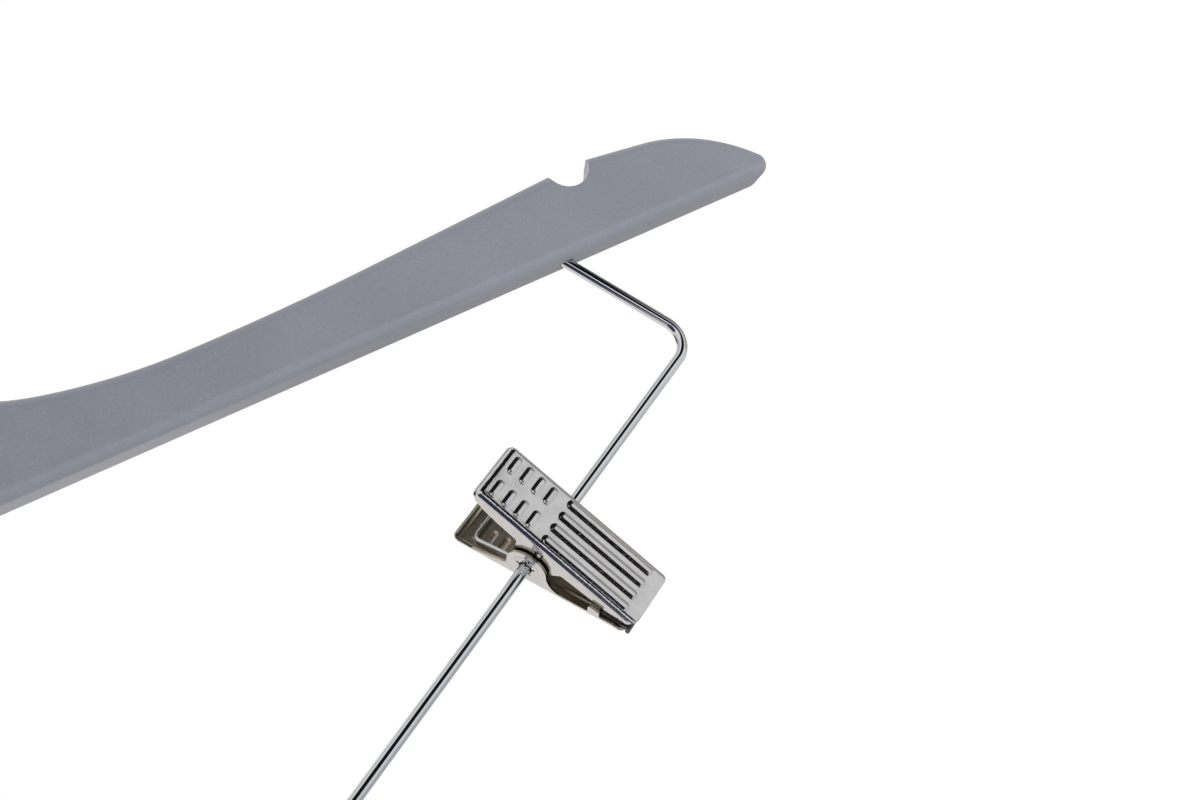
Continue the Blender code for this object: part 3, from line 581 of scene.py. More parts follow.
def surface_waver():
    """Slow unevenness and fine grain of a finished surface, as a mask and a height."""
    group, into, out = new_group(
        "surface_waver", {"Broad Scale": 120.0, "Fine Scale": 2500.0, "Fine Share": 0.3}, ("Mask", "Height"))
    place = object_place(group)
    broad = noise_node(group, place, into.outputs["Broad Scale"], 3.0)
    fine = noise_node(group, place, into.outputs["Fine Scale"], 2.0, 0.6)
    share = into.outputs["Fine Share"]
    both = math_node(group, "ADD", math_node(group, "MULTIPLY", fine, share), broad)
    height = math_node(group, "DIVIDE", both, math_node(group, "ADD", share, 1.0))
    group.links.new(height, out.inputs["Height"])
    group.links.new(ranged(group, broad, 0.3, 0.7), out.inputs["Mask"])
    return group


def fine_scratches():
    """Hairline scratches in two directions, as a mask."""
    group, into, out = new_group("fine_scratches", {"Scale": 60.0, "Amount": 0.5}, ("Mask",))
    place = object_place(group)
    lines = []
    for turn in SCRATCH_TURNS:
        along = stretched(group, place, SCRATCH_STRETCH, turn)
        value = noise_node(group, along, into.outputs["Scale"], 1.0)
        near = math_node(group, "ABSOLUTE", math_node(group, "SUBTRACT", value, 0.5))
        lines.append(ranged(group, near, 0.0, SCRATCH_WIDTH, 1.0, 0.0))
    patches = ranged(group, noise_node(group, place, SCRATCH_PATCH_SCALE), *SCRATCH_PATCHES)
    patched = math_node(group, "MULTIPLY", math_node(group, "MAXIMUM", *lines), patches)
    group.links.new(math_node(group, "MULTIPLY", patched, into.outputs["Amount"]), out.inputs["Mask"])
    return group


WAVER = surface_waver()
SCRATCHES = fine_scratches()


def new_finish(name, slot):
    material = bpy.data.materials.new(name)
    material.use_nodes = True
    material["slot"] = slot
    return material, material.node_tree, material.node_tree.nodes["Principled BSDF"]


def placed_group(tree, group, **values):
    """The outputs of a node group placed with the given inputs."""
    node = tree.nodes.new("ShaderNodeGroup")
    node.node_tree = group
    for label, value in values.items():
        node.inputs[label.replace("_", " ")].default_value = value
    return node.outputs


def raise_bump(tree, shader, height, distance, strength=1.0):
    bump = tree.nodes.new("ShaderNodeBump")
    bump.inputs["Distance"].default_value = distance
    bump.inputs["Strength"].default_value = strength
    tree.links.new(height, bump.inputs["Height"])
    tree.links.new(bump.outputs["Normal"], shader.inputs["Normal"])


def satin_paint():
    """Sprayed grey satin over sanded wood, with bare wood chipped out beside each bar hole."""
    material, tree, shader = new_finish("satin_grey_paint", "painted_wood")
    place = object_place(tree)
    waver = placed_group(tree, WAVER, Broad_Scale=35.0, Fine_Scale=3200.0, Fine_Share=0.5)
    grain = noise_node(tree, stretched(tree, place, GRAIN_STRETCH), 1.0, 4.0, 0.6)
    speck = noise_node(tree, place, SPECK_SCALE, 2.0, 0.7)
    tone = blended(tree, waver["Mask"], *PAINT_TONES)
    tone = blended(tree, ranged(tree, speck, *LIGHT_SPECKS), tone, PAINT_LIGHT_SPECK)
    tone = blended(tree, ranged(tree, speck, *DARK_SPECKS), tone, PAINT_DARK_SPECK)
    scratches = placed_group(tree, SCRATCHES, Scale=90.0, Amount=0.30)
    tone = blended(tree, scratches["Mask"], tone, PAINT_SCRATCH)
    corner, direction, free = leg_line(1)
    hole = corner + direction * free
    chips = []
    for side in (1, -1):
        middle = (side * hole.x - CHIP_ASIDE, -CHIP_AHEAD, hole.y)
        gap = math_node(tree, "DISTANCE", place, middle, kind="ShaderNodeVectorMath")
        ragged = math_node(tree, "MULTIPLY", noise_node(tree, place, CHIP_SCALE, 3.0, 0.7), CHIP_RAGGED)
        near = math_node(tree, "ADD", gap, ragged)
        chips.append(ranged(tree, near, *CHIP_RIM, 1.0, 0.0))
    chip = math_node(tree, "MAXIMUM", *chips)
    feed(tree, shader.inputs["Base Color"], blended(tree, chip, tone, blended(tree, grain, *BARE_WOOD)))
    rough = math_node(tree, "MULTIPLY_ADD", waver["Mask"], 0.06, 0.28)
    rough = math_node(tree, "MULTIPLY_ADD", scratches["Mask"], 0.3, rough)
    feed(tree, shader.inputs["Roughness"], math_node(tree, "MULTIPLY_ADD", chip, 0.4, rough))
    height = math_node(tree, "MULTIPLY_ADD", grain, 0.45, waver["Height"])
    raise_bump(tree, shader, math_node(tree, "MULTIPLY_ADD", chip, -CHIP_BUMPS, height), PAINT_BUMP)
    return material


def bright_metal(name, slot, tint, dull, rough, bump, broad, fine, share, crumbs=0.0):
    """Plated metal, slightly uneven in colour, gloss and level, and crumbly where it was pressed."""
    material, tree, shader = new_finish(name, slot)
    shader.inputs["Metallic"].default_value = 1.0
    waver = placed_group(tree, WAVER, Broad_Scale=broad, Fine_Scale=fine, Fine_Share=share)
    scratches = placed_group(tree, SCRATCHES, Scale=150.0, Amount=0.5)
    feed(tree, shader.inputs["Base Color"], blended(tree, waver["Mask"], tint, dull))
    gloss = math_node(tree, "MULTIPLY_ADD", waver["Mask"], rough * 0.35, rough)
    gloss = math_node(tree, "MULTIPLY_ADD", scratches["Mask"], 0.12, gloss)
    feed(tree, shader.inputs["Roughness"], gloss)
    height = waver["Height"]
    if crumbs:
        pressed = tree.nodes.new("ShaderNodeAttribute")
        pressed.attribute_name = "pressed"
        crumb = noise_node(tree, object_place(tree), CRUMB_SCALE, 2.0, 0.6)
        torn = math_node(tree, "MULTIPLY", math_node(tree, "SUBTRACT", crumb, 0.5), pressed.outputs["Fac"])
        height = math_node(tree, "MULTIPLY_ADD", torn, crumbs, height)
    raise_bump(tree, shader, height, bump)
    return material


def moulded_rubber():
    material, tree, shader = new_finish("moulded_black_rubber", "black_rubber")
    waver = placed_group(tree, WAVER, Broad_Scale=500.0, Fine_Scale=6000.0, Fine_Share=0.8)
    dust = ranged(tree, noise_node(tree, object_place(tree), DUST_SCALE, 3.0, 0.7), *DUST_RANGE)
    tone = blended(tree, waver["Mask"], *RUBBER_TONES)
    feed(tree, shader.inputs["Base Color"], blended(tree, dust, tone, RUBBER_DUST))
    feed(tree, shader.inputs["Roughness"], math_node(tree, "MULTIPLY_ADD", dust, 0.25, 0.46))
    raise_bump(tree, shader, waver["Height"], RUBBER_BUMP)
    return material


# Board
def leg_line(side):
    """The bar leg's corner, its direction, and its length up to the arm's lower edge."""
    corner = Vector((side * BAR_HALF, BAR_Z))
    rise = heading(BAR_LEG_ANGLE)
    direction = Vector((-side * rise.x, rise.y))
    edge = corner + Vector((0.0, BAR_DROP))
    climb = heading(LOWER_SLOPE)
    meeting = crossing(corner, direction, edge, Vector((-side * climb.x, climb.y)))
    return corner, direction, (meeting - corner).length


def neck_corners():
    """The neck's corners on the right side, from its foot to its top."""
    x, climb, radius = NECK_FOOT
    corners = [(x, upper_edge(x), radius)]
    for next_x, next_climb, radius in (NECK_WAIST, NECK_SIDE):
        x, z, _ = corners[-1]
        corners.append((next_x, z + slope(climb) * (x - next_x), radius))
        climb = next_climb
    x, z, _ = corners[-1]
    corners.append((x - (NECK_TOP - z) / slope(climb), NECK_TOP, NECK_TOP_RADIUS))
    return corners


def tip_corners():
    """The arm's tip and shoulder corners, where their two arcs touch."""
    fall = heading(-LOWER_SLOPE)
    x = HALF_SPAN - TIP_RADIUS
    centre = Vector((x, lower_edge(x) + TIP_RADIUS / fall.x))
    start = Vector((SHOULDER_X, upper_edge(SHOULDER_X)))
    lie = heading(-SHOULDER_SLOPE)
    below = start + SHOULDER_RADIUS * Vector((lie.y, -lie.x))
    gap = below - centre
    along = gap.dot(lie)
    reach = math.sqrt(along ** 2 - gap.length_squared + (SHOULDER_RADIUS - TIP_RADIUS) ** 2)
    arc_centre = below - lie * (along + reach)
    out = (centre - arc_centre).normalized()
    touch = arc_centre + SHOULDER_RADIUS * out
    tangent = Vector((out.y, -out.x))
    tip = crossing(touch, tangent, Vector((x, lower_edge(x))), fall)
    shoulder = crossing(touch, tangent, start, lie)
    return [(*tip, TIP_RADIUS), (*shoulder, SHOULDER_RADIUS), (*start, 0.0)]


def board_blank():
    """Both arms as one board, its long edges rounded over."""
    right = tip_corners() + neck_corners()
    left = [(-x, z, radius) for x, z, radius in reversed(right)]
    corners = [(0.0, lower_edge(0.0), ARCH_RADIUS)] + right + left
    shape = slab([(x, z + BAR_Z, radius) for x, z, radius in corners], BOARD_THICKNESS, HANGER_PLANE)
    round_edges(shape, sharp_edges(shape, EDGE_ROUND_ANGLE), EDGE_ROUND, EDGE_ROUND_STEPS)
    return shape


def joint_half(side):
    """All that lies on one side of the glued finger joint. side is 1 for the right arm."""
    base = lower_edge(0.0) + FINGER_RISE + BAR_Z
    middle = x = side * GLUE_LINE / 2.0
    line = [(middle, base - HALF_SPAN, 0.0)]
    for i in range(FINGER_COUNT + 1):
        own = (i % 2 == 0) == (side > 0)
        level = base + i * FINGER_HEIGHT + (GLUE_LINE if own else -GLUE_LINE) / 2.0
        line.append((x, level, 0.0))
        reach = side * (-FINGER_LENGTH if own else FINGER_LENGTH) / 2.0
        x = middle + reach if i < FINGER_COUNT else middle
        line.append((x, level, 0.0))
    line += [(middle, base + HALF_SPAN, 0.0), (2.0 * side * HALF_SPAN, base + HALF_SPAN, 0.0),
             (2.0 * side * HALF_SPAN, base - HALF_SPAN, 0.0)]
    return slab(line, 2.0 * BOARD_THICKNESS, HANGER_PLANE)


def notch_axis(side):
    normal = heading(90.0 - UPPER_SLOPE)
    lift = NOTCH_RADIUS - NOTCH_DEPTH
    x = side * (NOTCH_X + normal.x * lift)
    z = upper_edge(NOTCH_X) + BAR_Z + normal.y * lift
    slant = side * slope(NOTCH_SLANT) * BOARD_THICKNESS
    return Vector((x - slant / 2.0, -BOARD_THICKNESS, z)), Vector((x + slant * 1.5, BOARD_THICKNESS, z))


def make_arm(name, side, paint):
    """One arm of the board: jointed, notched, drilled for the bar and the ferrule."""
    arm = carved(board_blank(), [joint_half(side)], "INTERSECT")
    corner, direction, free = leg_line(side)
    start = corner + direction * (free - BOARD_THICKNESS)
    end = corner + direction * (free + BAR_INSERT)
    first, last = notch_axis(side)
    arm = carved(arm, [
        rod(NOTCH_RADIUS, first, last, NOTCH_STEPS),
        rod(LEG_HOLE, (start.x, 0.0, start.y), (end.x, 0.0, end.y)),
        rod(NECK_BORE, (0, 0, NECK_TOP_Z - FERRULE_DEPTH - NECK_BORE_SPARE),
            (0, 0, NECK_TOP_Z + EDGE_ROUND))])
    bmesh.ops.remove_doubles(arm, verts=arm.verts, dist=ARM_WELD)
    axis = (last - first).normalized()
    lips = []
    for edge in sharp_edges(arm, NOTCH_LIP_ANGLE):
        off = [(vert.co - first) - axis * (vert.co - first).dot(axis) for vert in edge.verts]
        if all(abs(gap.length - NOTCH_RADIUS) < NOTCH_LIP_NEAR for gap in off):
            lips.append(edge)
    round_edges(arm, lips, NOTCH_LIP, 3, clamp=True)
    return make_piece("painted_" + name, arm, paint, name, "hanger", sharp=BOARD_SHARP_ANGLE)


# Hook, ferrule and bar
def make_ferrule(chrome):
    top = NECK_TOP_Z + FIT_GAP
    face = top + FERRULE_FLANGE_THICKNESS
    low = NECK_TOP_Z - FERRULE_DEPTH
    flange = FERRULE_FLANGE / 2.0
    shape = turned([
        (FERRULE_BORE, face, FERRULE_MOUTH_ROUND), (flange, face, FERRULE_RIM_ROUND),
        (flange, top, FERRULE_ROUND), (FERRULE_OUTER, top, 0.0),
        (FERRULE_OUTER, low, FERRULE_ROUND), (FERRULE_BORE, low, FERRULE_ROUND)])
    return make_piece("chromed_ferrule", shape, chrome, "hook_ferrule", "hanger")


def hook_line():
    """The hook's centre line from its stem to its tip."""
    shoulder = NECK_TOP_Z + HOOK_SHANK
    foot = NECK_TOP_Z - FERRULE_DEPTH - HOOK_COLLAR_LENGTH - FIT_GAP
    line = [Vector((0.0, 0.0, foot)), Vector((0.0, 0.0, shoulder - HOOK_STEM_END))]
    steps = 14
    for k in range(steps + 1):
        angle = HOOK_SWEEP * k / steps
        out = HOOK_SHANK_RADIUS * (1.0 - math.cos(angle))
        line.append(Vector((out, 0.0, shoulder + HOOK_SHANK_RADIUS * math.sin(angle))))
    centre = -HOOK_RADIUS + HOOK_WIRE / 2.0
    first, last = -HOOK_SWEEP, math.pi + math.radians(HOOK_END_TURN)
    steps = 70
    for k in range(1, steps + 1):
        angle = first + (last - first) * k / steps
        line.append(Vector((HOOK_RADIUS * math.cos(angle), 0.0, centre + HOOK_RADIUS * math.sin(angle))))
    return line


def make_hook(chrome):
    shape = wire(hook_line(), HOOK_WIRE / 2.0, HOOK_SIDES, ends=6)
    top = NECK_TOP_Z - FERRULE_DEPTH - FIT_GAP
    low = top - HOOK_COLLAR_LENGTH
    outer = HOOK_COLLAR / 2.0
    collar = turned([
        (HOOK_COLLAR_INNER, top, 0.0), (outer, top, HOOK_COLLAR_ROUND),
        (outer, low, HOOK_COLLAR_ROUND), (HOOK_COLLAR_INNER, low, 0.0)])
    shape.from_mesh(mesh_from("collar", collar))
    return make_piece("chromed_hook", shape, chrome, "hook", "hook", even=False)


def make_bar(chrome):
    line = []
    for side in (-1, 1):
        corner, direction, free = leg_line(side)
        place = Vector((corner.x, 0.0, corner.y))
        end = place + Vector((direction.x, 0.0, direction.y)) * (free + BAR_INSERT)
        bend = arc_between(end, place, Vector((0.0, 0.0, BAR_Z)), BAR_BEND, BAR_BEND_STEPS)
        line.append([end] + bend)
    shape = wire(line[0] + line[1][::-1], BAR_WIRE / 2.0, BAR_SIDES, ends=5)
    return make_piece("chromed_clip_bar", shape, chrome, "clip_bar", "hanger", even=False)


# Clips. s runs from the pivot towards the jaw's tip, depth from the plate's outer face inwards.
def bite_depth(s, front):
    """How deep the surface between the two pads lies at s, measured in one jaw."""
    open_angle = math.radians(FRONT_TILT - REAR_TILT)
    front_inner, rear_inner = FRONT_DEPTH - SHEET, REAR_DEPTH - SHEET
    own, other = (front_inner, rear_inner) if front else (rear_inner, front_inner)
    meet = (other + own * math.cos(open_angle)) / math.sin(open_angle)
    return SHEET + (meet - s) * math.tan(open_angle / 2.0)


def flange_reach(depth, bend=BEND_RADIUS):
    """How far past the bend's start a depth lies in the flat blank."""
    if depth < bend:
        return bend * math.acos(1.0 - depth / bend)
    return bend * math.pi / 2.0 + depth - bend


def front_edge():
    """The front jaw's flange from tip to handle, as (s, depth, radius)."""
    clear = 1.5 * FIT_GAP
    tip_start = FRONT_JAW - FRONT_TIP_RISE
    pad_start = FRONT_JAW - PAD_LENGTH
    ear = FRONT_DEPTH + FRONT_EAR
    return [
        (FRONT_JAW, 0.0, TIP_CORNER), (FRONT_JAW - TIP_CORNER, TIP_CORNER, TIP_CORNER),
        (tip_start, bite_depth(tip_start, True) - clear, FRONT_TIP_ROUND),
        (pad_start, bite_depth(pad_start, True) - clear, FRONT_HEEL_ROUND),
        *FRONT_FLANGE_LOW,
        (FRONT_EAR, ear, FRONT_EAR), (-FRONT_EAR, ear, FRONT_EAR),
        *FRONT_FLANGE_HIGH]


def rear_edge():
    """The rear jaw's flange from tip to handle, with its guide tab beside the pad."""
    tab_start = REAR_JAW - PAD_LENGTH - TAB_ABOVE_PAD
    tab_end = REAR_JAW - PAD_LENGTH + TAB_BESIDE_PAD
    ear = REAR_DEPTH + REAR_EAR
    return [
        (REAR_JAW, 0.0, TIP_CORNER), (REAR_JAW - TIP_CORNER, REAR_STRIP, TIP_CORNER),
        (tab_end, REAR_STRIP, TAB_FOOT_ROUND),
        (tab_end, bite_depth(tab_end, False) - FIT_GAP, TAB_CORNER),
        (tab_start, bite_depth(tab_start, False) - FIT_GAP, TAB_CORNER),
        (tab_start, REAR_STRIP, TAB_CORNER),
        *REAR_FLANGE_LOW,
        (REAR_EAR, ear, REAR_EAR), (-REAR_EAR, ear, REAR_EAR),
        *REAR_FLANGE_HIGH]


def rib_places(handle, jaw):
    """Each rib as (x, y, half its straight length, radius of its foot, lengthwise), from the pivot up."""
    places = []
    for row in range(SHORT_RIB_ROWS):
        for side in (-1, 1):
            y = handle - SHORT_RIB_START - row * SHORT_RIB_PITCH
            half = SHORT_RIB_LENGTH / 2.0 - SHORT_RIB_FOOT
            places.append((side * SHORT_RIB_OFFSET, y, half, SHORT_RIB_FOOT, False))
    top, low = handle - LONG_RIB_START, LONG_RIB_END - jaw
    for i in range(LONG_RIB_COUNT):
        x = (i - (LONG_RIB_COUNT - 1) / 2.0) * LONG_RIB_SPACING
        places.append((x, (top + low) / 2.0, (top - low) / 2.0 - LONG_RIB_FOOT, LONG_RIB_FOOT, True))
    return places


def rounded_slot(shape, x, y, half, radius, lengthwise, steps=20):
    """The outline of a slot with round ends, and its edges."""
    verts = bmesh.ops.create_circle(shape, cap_ends=False, radius=radius, segments=steps)["verts"]
    turn = Matrix.Rotation(math.pi / steps, 4, "Z")
    bmesh.ops.transform(shape, matrix=turn, verts=verts)
    for vert in verts:
        if lengthwise:
            vert.co.y += math.copysign(half, vert.co.y)
        else:
            vert.co.x += math.copysign(half, vert.co.x)
    bmesh.ops.translate(shape, verts=verts, vec=(x, y, 0.0))
    return list({edge for vert in verts for edge in vert.link_edges})


def face_up(shape):
    """Turn every face of a flat sheet to its outer side."""
    shape.normal_update()
    bmesh.ops.reverse_faces(shape, faces=[face for face in shape.faces if face.normal.z < 0.0])


def rib_rise(share):
    """How high a rib stands a share of the way up its flank, with an even slope eased at foot and top."""
    if share < RIB_EASE:
        rise = share * share / (2.0 * RIB_EASE)
    elif share > 1.0 - RIB_EASE:
        rise = 1.0 - RIB_EASE - (1.0 - share) ** 2 / (2.0 * RIB_EASE)
    else:
        rise = share - RIB_EASE / 2.0
    return RIB_HEIGHT * rise / (1.0 - RIB_EASE)


def press_rib(shape, edges, foot):
    """Fill a rib's outline and push it out in rings."""
    face = bmesh.ops.contextual_create(shape, geom=edges)["faces"][0]
    face_up(shape)
    for k in range(RIB_STEPS):
        rise = rib_rise((k + 1) / RIB_STEPS) - rib_rise(k / RIB_STEPS)
        bmesh.ops.inset_individual(
            shape, faces=[face], thickness=(foot - RIB_TOP) / RIB_STEPS, depth=rise, use_even_offset=True)
    bmesh.ops.inset_individual(
        shape, faces=[face], thickness=RIB_TOP / 2.0, depth=0.0, use_even_offset=True)


def fold_sides(shape, flat, end):
    """Fold a flat blank over at both sides, and over its handle end, marking where it was pressed."""
    pressed = shape.verts.layers.float["pressed"]
    for vert in shape.verts:
        vert[pressed] = 1.0 if RIB_FLANK[0] < vert.co.z / RIB_HEIGHT < RIB_FLANK[1] else 0.0
        inner = Vector((max(-flat, min(flat, vert.co.x)), min(end, vert.co.y), 0.0))
        out = Vector((vert.co.x - inner.x, vert.co.y - inner.y, 0.0))
        reach = out.length
        if reach > 1e-7:
            bend = BEND_RADIUS + (END_BEND_RADIUS - BEND_RADIUS) * (out.y / reach) ** 2
            angle = min(reach / bend, math.pi / 2.0)
            drop = bend * (1.0 - math.cos(angle)) + max(0.0, reach - bend * math.pi / 2.0)
            vert.co = inner + out / reach * bend * math.sin(angle) + Vector((0.0, 0.0, -drop))
            vert[pressed] = max(vert[pressed], math.sin(4.0 * angle))


def pressed_jaw(edge, width, handle, jaw, plate_depth, facing, tilt, wall, spring_hole):
    """A jaw cut from flat sheet, ribbed, folded and given its thickness."""
    shape = bmesh.new()
    shape.verts.layers.float.new("pressed")
    flat, end = width / 2.0 - BEND_RADIUS, handle - END_BEND_RADIUS
    lip = flange_reach(wall)
    right = [(flat + flange_reach(depth), -s, radius) for s, depth, radius in edge]
    right.append((flat + lip, end + flange_reach(wall, END_BEND_RADIUS), lip))
    left = [(-x, y, radius) for x, y, radius in reversed(right)]
    sketch(shape, right + left)
    for side in (-1, 1):
        rounded_slot(shape, side * (flat + flange_reach(plate_depth)), 0.0, 0.0, EAR_HOLE, True, steps=40)
        if spring_hole:
            reach = flat + flange_reach(plate_depth - SPRING_HOOK_OUT)
            wide, tall = SPRING_HOLE
            rounded_slot(shape, side * reach, 0.0, tall - wide, wide, True)
    ribs = [
        (rounded_slot(shape, x, y, half, foot, lengthwise), foot)
        for x, y, half, foot, lengthwise in rib_places(handle, jaw)]
    bmesh.ops.triangle_fill(
        shape, use_beauty=True, use_dissolve=False, edges=shape.edges[:], normal=(0, 0, 1))
    for outline, foot in ribs:
        press_rib(shape, outline, foot)
    for k in range(BEND_STEPS + 1):
        quarter = math.pi / 2.0 * k / BEND_STEPS
        across = flat + BEND_RADIUS * quarter
        for place, aim in (((across, 0, 0), (1, 0, 0)), ((-across, 0, 0), (1, 0, 0)),
                           ((0, end + END_BEND_RADIUS * quarter, 0), (0, 1, 0))):
            bmesh.ops.bisect_plane(
                shape, geom=shape.verts[:] + shape.edges[:] + shape.faces[:], dist=1e-6,
                plane_co=place, plane_no=aim)
    face_up(shape)
    fold_sides(shape, flat, end)
    bmesh.ops.remove_doubles(shape, verts=shape.verts, dist=JAW_WELD)
    bmesh.ops.dissolve_degenerate(shape, dist=JAW_SLIVER, edges=shape.edges[:])
    shape.normal_update()
    outside = set(shape.faces)
    bmesh.ops.solidify(shape, geom=shape.faces[:], thickness=SHEET)
    # Outer faces take the first finish; inner faces take the second, whose darker, warmer tint is painted
    # shade.
    for face in shape.faces:
        face.material_index = 0 if face in outside else 1
    turn_faces_out(shape)
    round_edges(shape, sharp_edges(shape, JAW_EDGE_ANGLE), JAW_EDGE, 2, clamp=True)
    lay = Matrix(((1, 0, 0, 0), (0, 0, facing, facing * plate_depth), (0, 1, 0, 0), (0, 0, 0, 1)))
    turn = Matrix.Rotation(math.radians(tilt), 4, "X")
    bmesh.ops.transform(shape, matrix=turn @ lay, verts=shape.verts)
    turn_faces_out(shape)
    return shape


def bite_line(start, end, front):
    """The pad's bite, from its tip back to its heel, with grooves across it."""
    line = []
    pitch = (end - start) / (PAD_GROOVES + GROOVE_SPARE)
    for k in range(PAD_GROOVES):
        for along, deep in GROOVE_SECTION:
            s = end - (k + along) * pitch
            line.append((s, bite_depth(s, front) - FIT_GAP / 2.0 - deep * PAD_GROOVE, GROOVE_ROUND))
    return line


def rubber_pad(corners, width, plate_depth, facing, tilt, corner):
    """A pad drawn from the side, with two corners rounded at its tip where corner isn't 0."""
    line = [(facing * (plate_depth - depth), -s, radius) for s, depth, radius in corners]
    shape = slab(line, width, SIDE_PLANE)
    if corner:
        low = min(vert.co.z for vert in shape.verts)
        tip = []
        for edge in sharp_edges(shape, PAD_SHARP_ANGLE):
            one, other = (vert.co for vert in edge.verts)
            at_side = abs(one.x - other.x) < WELD
            at_tip = max(one.z, other.z) < low + corner
            if at_side and at_tip and abs(one.y - other.y) > PAD_TIP_EDGE:
                tip.append(edge)
        round_edges(shape, tip, corner, 6)
    turn_over(shape, tilt, "X")
    turn_faces_out(shape)
    return shape


def front_pad():
    start, end = FRONT_JAW - PAD_LENGTH + FIT_GAP, FRONT_JAW - PAD_INSET
    low = SHEET + FIT_GAP
    corners = [
        (start, low, 0.0), (end, low, 0.0), (end, bite_depth(end, True) - FIT_GAP / 2.0, PAD_ROUND),
        *bite_line(start, end, True), (start, bite_depth(start, True) - FIT_GAP / 2.0, 2.0 * PAD_ROUND)]
    width = FRONT_WIDTH - 2.0 * (SHEET + FIT_GAP)
    return rubber_pad(corners, width, FRONT_DEPTH, -1, FRONT_TILT, PAD_TIP_CORNER)


def rear_pad():
    start, heel = REAR_JAW - PAD_LENGTH + FIT_GAP, REAR_JAW + FIT_GAP
    end = heel + PAD_LIP
    low = SHEET + FIT_GAP
    corners = [
        (start, low, 0.0), (heel, low, 0.0), (heel, 0.0, PAD_LIP_ROUND), (end, 0.0, PAD_ROUND),
        (end, bite_depth(end, False) - FIT_GAP / 2.0, PAD_ROUND),
        *bite_line(start, heel, False),
        (start, bite_depth(start, False) - FIT_GAP / 2.0, 2.0 * PAD_ROUND)]
    width = REAR_WIDTH - 2.0 * (SHEET + FIT_GAP)
    return rubber_pad(corners, width, REAR_DEPTH, 1, REAR_TILT, 0.0)


def pivot_eyelet():
    """A tube with a rolled flange at its right end and a star-split one at its left."""
    rim = EYELET_SEAT + EYELET_RIM
    end = [
        (EYELET_INNER, EYELET_FACE, EYELET_ROUND), (EYELET_FLANGE, rim, EYELET_RIM),
        (EYELET_FLANGE, EYELET_SEAT, 0.0), (EYELET_OUTER, EYELET_SEAT, 0.0)]
    shape = turned(end + [(radius, -height, corner) for radius, height, corner in reversed(end)])
    splits = []
    for i in range(EYELET_PETALS):
        tool = bmesh.new()
        bmesh.ops.create_cube(tool, size=1.0)
        reach = EYELET_SPLIT_END - EYELET_INNER
        size = Matrix.Diagonal((2.0 * reach, EYELET_SPLIT, EYELET_SPLIT_DEPTH, 1.0))
        out = Matrix.Translation((EYELET_SPLIT_END - reach, 0.0, -EYELET_FACE))
        turn = Matrix.Rotation(2.0 * math.pi * (i + 0.5) / EYELET_PETALS, 4, "Z")
        bmesh.ops.transform(tool, matrix=turn @ out @ size, verts=tool.verts)
        wedge = [vert for vert in tool.verts if (turn.inverted() @ vert.co).x > EYELET_INNER]
        bmesh.ops.scale(tool, verts=wedge, vec=(1.0, EYELET_SPLIT_SPREAD, 1.0), space=turn.inverted())
        splits.append(tool)
    shape = carved(shape, splits)
    bmesh.ops.remove_doubles(shape, verts=shape.verts, dist=WELD)
    turn_over(shape, 90.0, "Y")
    return shape


def spring_half():
    """One half of the spring, from the middle of its loop to its free end."""
    radius, thick = SPRING_COIL / 2.0, SPRING_WIRE / 2.0
    rear, front = math.radians(-REAR_TILT), math.radians(FRONT_TILT)
    along = Vector((0.0, math.sin(rear), math.cos(rear)))
    off = Vector((0.0, math.cos(rear), -math.sin(rear)))
    loop = along * SPRING_LOOP + off * (REAR_DEPTH - SHEET - thick - FIT_GAP)
    end = Vector((0.0, -math.cos(front), -math.sin(front))) * SPRING_HOOK_OUT
    first = math.atan2(loop.y, loop.z) + math.acos(radius / loop.length)
    last = math.atan2(end.y, end.z) % (2.0 * math.pi) - math.acos(radius / end.length)
    last += 2.0 * math.pi * (SPRING_TURNS if last > first else SPRING_TURNS + 1)
    steps = round((last - first) / (2.0 * math.pi) * SPRING_POINTS)
    coil = []
    for k in range(steps + 1):
        angle = first + (last - first) * k / steps
        x = SPRING_LEG_X - SPRING_PITCH * (angle - first) / (2.0 * math.pi)
        coil.append(Vector((x, radius * math.sin(angle), radius * math.cos(angle))))
    corner = loop + Vector((SPRING_LEG_X, 0.0, 0.0))
    bend = arc_between(loop, corner, coil[0], SPRING_LOOP_BEND, SPRING_BEND_STEPS)
    reach = end + Vector((coil[-1].x, 0.0, 0.0))
    tip = end + Vector((FRONT_WIDTH / 2.0 + thick, 0.0, 0.0))
    hook = arc_between(coil[-1], reach, tip, SPRING_END_BEND, SPRING_BEND_STEPS)
    return [loop] + bend + coil + hook + [tip]


def spring():
    half = spring_half()
    mirrored = [Vector((-point.x, point.y, point.z)) for point in reversed(half)]
    return wire(mirrored[:-1] + half, SPRING_WIRE / 2.0, SPRING_SIDES, ends=2)


